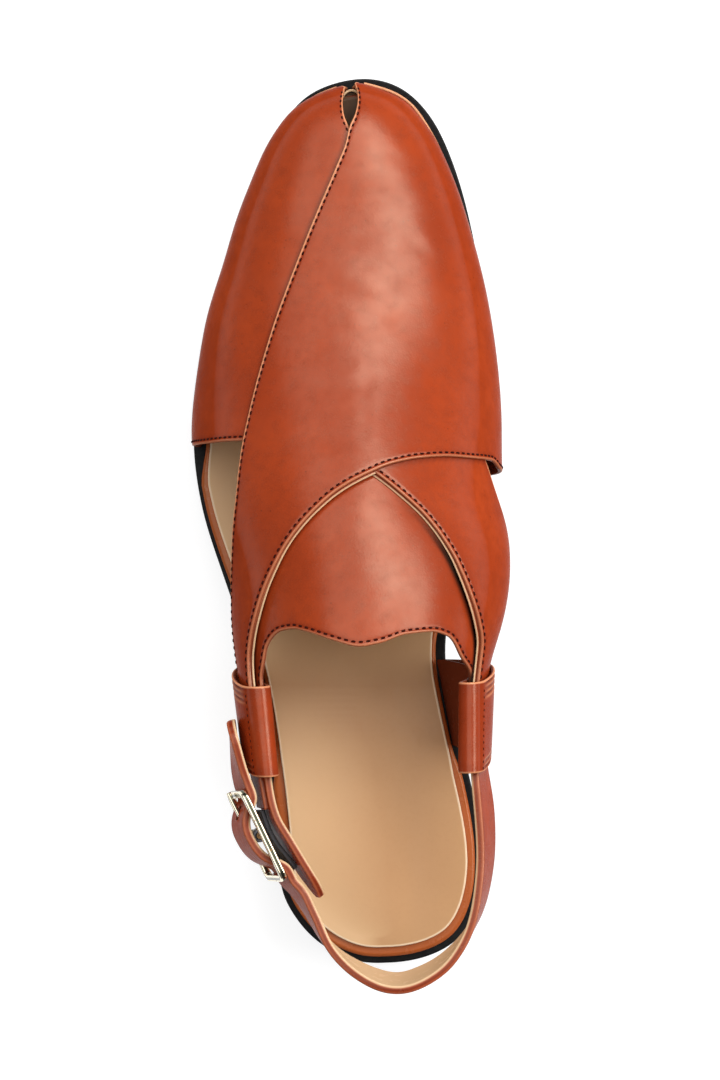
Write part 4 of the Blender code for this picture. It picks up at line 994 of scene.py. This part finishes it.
def cognac_leather():
    m = Shader("cognac_leather")
    cloud, fine = m.noise(24.0, 4.0), m.noise(260.0, 4.0, 0.65)
    colour = m.mix(m.span(cloud, 0.35, 0.65), (0.315, 0.041, 0.009), (0.260, 0.031, 0.007))
    colour = m.mix(m.span(fine, 0.42, 0.75, 0.0, 0.55), colour, (0.19, 0.023, 0.005))
    streaks = m.noise(90.0, 3.0, stretch=(1.0, 0.25, 1.0))
    colour = m.mix(m.span(streaks, 0.45, 0.70, 0.0, 0.35), colour, (0.22, 0.026, 0.006))
    specks = m.span(m.cells(420.0), 0.06, 0.13, 1.0, 0.0)
    specks = m.product(specks, m.span(m.noise(45.0, 2.0), 0.55, 0.60, 0.0, 0.85))
    colour = m.mix(specks, colour, (0.12, 0.016, 0.004))
    burn = m.product(m.layer("burn"), m.span(fine, 0.2, 0.8, 0.35, 0.75))
    for amount, tint in ((burn, (0.20, 0.024, 0.007)),
                         (m.product(m.layer("wrap"), 0.6), (0.42, 0.115, 0.026)),
                         # rim: light cut edges, plus a painted highlight on the lips beside the loops' seams
                         (m.product(m.layer("rim"), 0.9), (0.62, 0.25, 0.12)),
                         # painted shade: beside steps, in the loops' seam grooves and along the middle of cut
                         # edges
                         (m.product(m.layer("shade"), 0.75), (0.10, 0.013, 0.005)),
                         (m.layer("lining"), (0.60, 0.40, 0.23)),
                         # painted shade on the panels' low lining, the loops' inner leaves and folds, and the
                         # board inside the toe
                         (m.layer("deep"), (0.15, 0.030, 0.012)),
                         # painted shadow in the gap between the tongue and the under panel
                         (m.layer("gap"), (0.008, 0.003, 0.002))):
        colour = m.mix(amount, colour, tint)
    facing = m.node("LayerWeight").outputs["Facing"]
    polish = m.span(m.noise(70.0, 6.0, 0.65), 0.3, 0.7, 0.7, 1.3)
    gloss = m.product(m.span(facing, 0.22, 0.44, 0.46, 0.004), polish)
    normal = m.bump(m.cells(1500.0), 0.00003, 0.45)
    normal = m.bump(m.noise(110.0, 3.0), 0.0004, 0.12, normal)
    normal = m.bump(m.noise(5200.0, 2.0), 0.00003, 0.4, normal)
    return m.finish(Base_Color=colour, Roughness=m.span(fine, 0.25, 0.8, 0.22, 0.31), Normal=normal,
                    Specular_IOR_Level=gloss, Specular_Tint=(1.0, 0.81, 0.61))


def footbed_leather():
    m = Shader("footbed_leather")
    cloud, fine = m.noise(18.0, 4.0), m.noise(700.0, 3.0)
    colour = m.mix(m.span(cloud, 0.3, 0.7), (0.54, 0.300, 0.132), (0.48, 0.257, 0.110))
    streak = m.noise(60.0, 3.0, stretch=(1.0, 0.12, 1.0))
    for amount, tint in ((m.span(streak, 0.40, 0.70, 0.0, 0.30), (0.47, 0.27, 0.135)),
                         (m.span(fine, 0.5, 0.75, 0.0, 0.12), (0.42, 0.23, 0.11)),
                         # painted light on the footbed's lateral heel and middle
                         (m.span(m.layer("painted_light"), 0.45, 1.0, 0.0, 0.7), (0.76, 0.50, 0.27)),
                         (m.layer("rim"), (0.78, 0.58, 0.38)),
                         # painted shade inside the toe box
                         (m.layer("deep"), (0.11, 0.052, 0.020))):
        colour = m.mix(amount, colour, tint)
    return m.finish(Base_Color=colour, Roughness=m.span(fine, 0.3, 0.7, 0.46, 0.6),
                    Normal=m.bump(m.cells(1800.0), 0.00003, 0.3))


def black_rubber():
    m = Shader("black_rubber")
    fine = m.noise(900.0, 4.0)
    return m.finish(Base_Color=m.mix(m.span(fine, 0.35, 0.7), (0.003, 0.003, 0.003), (0.010, 0.010, 0.010)),
                    Roughness=m.span(m.noise(60.0, 4.0), 0.3, 0.7, 0.42, 0.6), Specular_IOR_Level=0.14,
                    Normal=m.bump(fine, 0.00003, 0.5))


def woven_elastic():
    m = Shader("woven_elastic")
    wave = m.node("TexWave", {"Vector": m.where, "Scale": 180.0, "Distortion": 0.6})
    wave.bands_direction = "Z"
    weave = wave.outputs["Fac"]
    return m.finish(Base_Color=m.mix(weave, (0.028, 0.029, 0.033), (0.085, 0.090, 0.105)), Roughness=0.72,
                    Normal=m.bump(weave, 0.0002, 0.8))


def gold_metal():
    m = Shader("gold_metal")
    # painted reflection: the flat faces (deep) are dark olive, the bevels bright
    plate = m.mix(m.span(m.layer("deep"), 0.3, 0.9), (0.95, 0.86, 0.66), (0.10, 0.10, 0.065))
    spots = m.span(m.noise(420.0, 4.0, 0.7), 0.60, 0.68)
    return m.finish(Base_Color=m.mix(spots, plate, (0.30, 0.16, 0.06)), Metallic=1.0,
                    Roughness=m.span(m.noise(160.0, 3.0), 0.3, 0.7, 0.14, 0.28))


def waxed_thread():
    m = Shader("waxed_thread")
    fine = m.noise(2500.0, 2.0)
    return m.finish(Base_Color=m.mix(fine, (0.018, 0.003, 0.002), (0.042, 0.005, 0.003)), Roughness=0.8,
                    Specular_IOR_Level=0.05, Normal=m.bump(fine, 0.00005, 0.6))


def floor_paper():
    m = Shader("floor_paper")
    grey = m.mix(m.noise(3.0, 2.0), (0.36, 0.36, 0.36), (0.38, 0.38, 0.38))
    return m.finish(Base_Color=grey, Roughness=0.55, Emission_Color=(1.0, 1.0, 1.0), Emission_Strength=0.75)


# ---- stage ----

def put(name, data, place, turn=(0.0, 0.0, 0.0)):
    """A new object at its place in the scene."""
    obj = bpy.data.objects.new(name, data)
    obj.location, obj.rotation_euler = place, turn
    bpy.context.scene.collection.objects.link(obj)
    return obj


def softbox(name, across, ahead, turn, size, power):
    """Rectangular light that faces the shoe from LIGHT_AWAY, its long side along +Y turned in plan."""
    light = bpy.data.lights.new(name, "AREA")
    light.shape = "RECTANGLE"
    light.size, light.size_y = size
    light.energy = power
    aim = Vector((math.tan(math.radians(across)), math.tan(math.radians(ahead)), 1.0)).normalized()
    long = Vector((-math.sin(math.radians(turn)), math.cos(math.radians(turn)), 0.0))
    long = (long - aim * aim.dot(long)).normalized()
    axes = Matrix((long.cross(aim), long, aim)).transposed()
    put(name, light, Vector(LIT) + aim * LIGHT_AWAY, axes.to_euler())


def make_stage():
    mesh, half = bpy.data.meshes.new("floor"), 3.0
    corners = [(-half, -half, 0), (half, -half, 0), (half, half, 0), (-half, half, 0)]
    mesh.from_pydata(corners, [], [(0, 1, 2, 3)])
    mesh.materials.append(floor_paper())
    put("floor", mesh, (0.0, 0.0, -0.0002))
    for box in SOFTBOXES:
        softbox(*box)
    world = bpy.data.worlds.new("studio")
    world.use_nodes = True
    backdrop = world.node_tree.nodes["Background"]
    backdrop.inputs["Color"].default_value = (1.0, 1.0, 1.0, 1.0)
    backdrop.inputs["Strength"].default_value = 0.13
    scene, camera = bpy.context.scene, bpy.data.cameras.new("camera")
    camera.lens, camera.sensor_width = CAMERA_LENS, 36.0
    scene.camera = put("camera", camera, CAMERA_PLACE, (0.0, 0.0, math.radians(CAMERA_TURN)))
    scene.world = world
    scene.view_settings.view_transform = "Standard"


RIDGE_X, RIDGE_Z = columns(RIDGE)
LAT_X, LAT_Z = columns(LATERAL)
MED_X, MED_Z = columns(MEDIAL)
FOOT_L, FOOT_M = columns(FEATHER)
LAST, LAST_N = build_last()

leather, thread, footbed = cognac_leather(), waxed_thread(), footbed_leather()
make_bottom(black_rubber(), leather, footbed)
make_upper(leather, thread)
make_foot_line(leather, footbed)
loop_rows = [make_loop(name, table, leather) for name, table in LOOPS.items()]
stitches("loop_stitches", loop_rows, thread, pitch=2.0, length=0.9, radius=0.16)
make_straps(leather)
make_buckle(gold_metal(), woven_elastic())
make_stage()
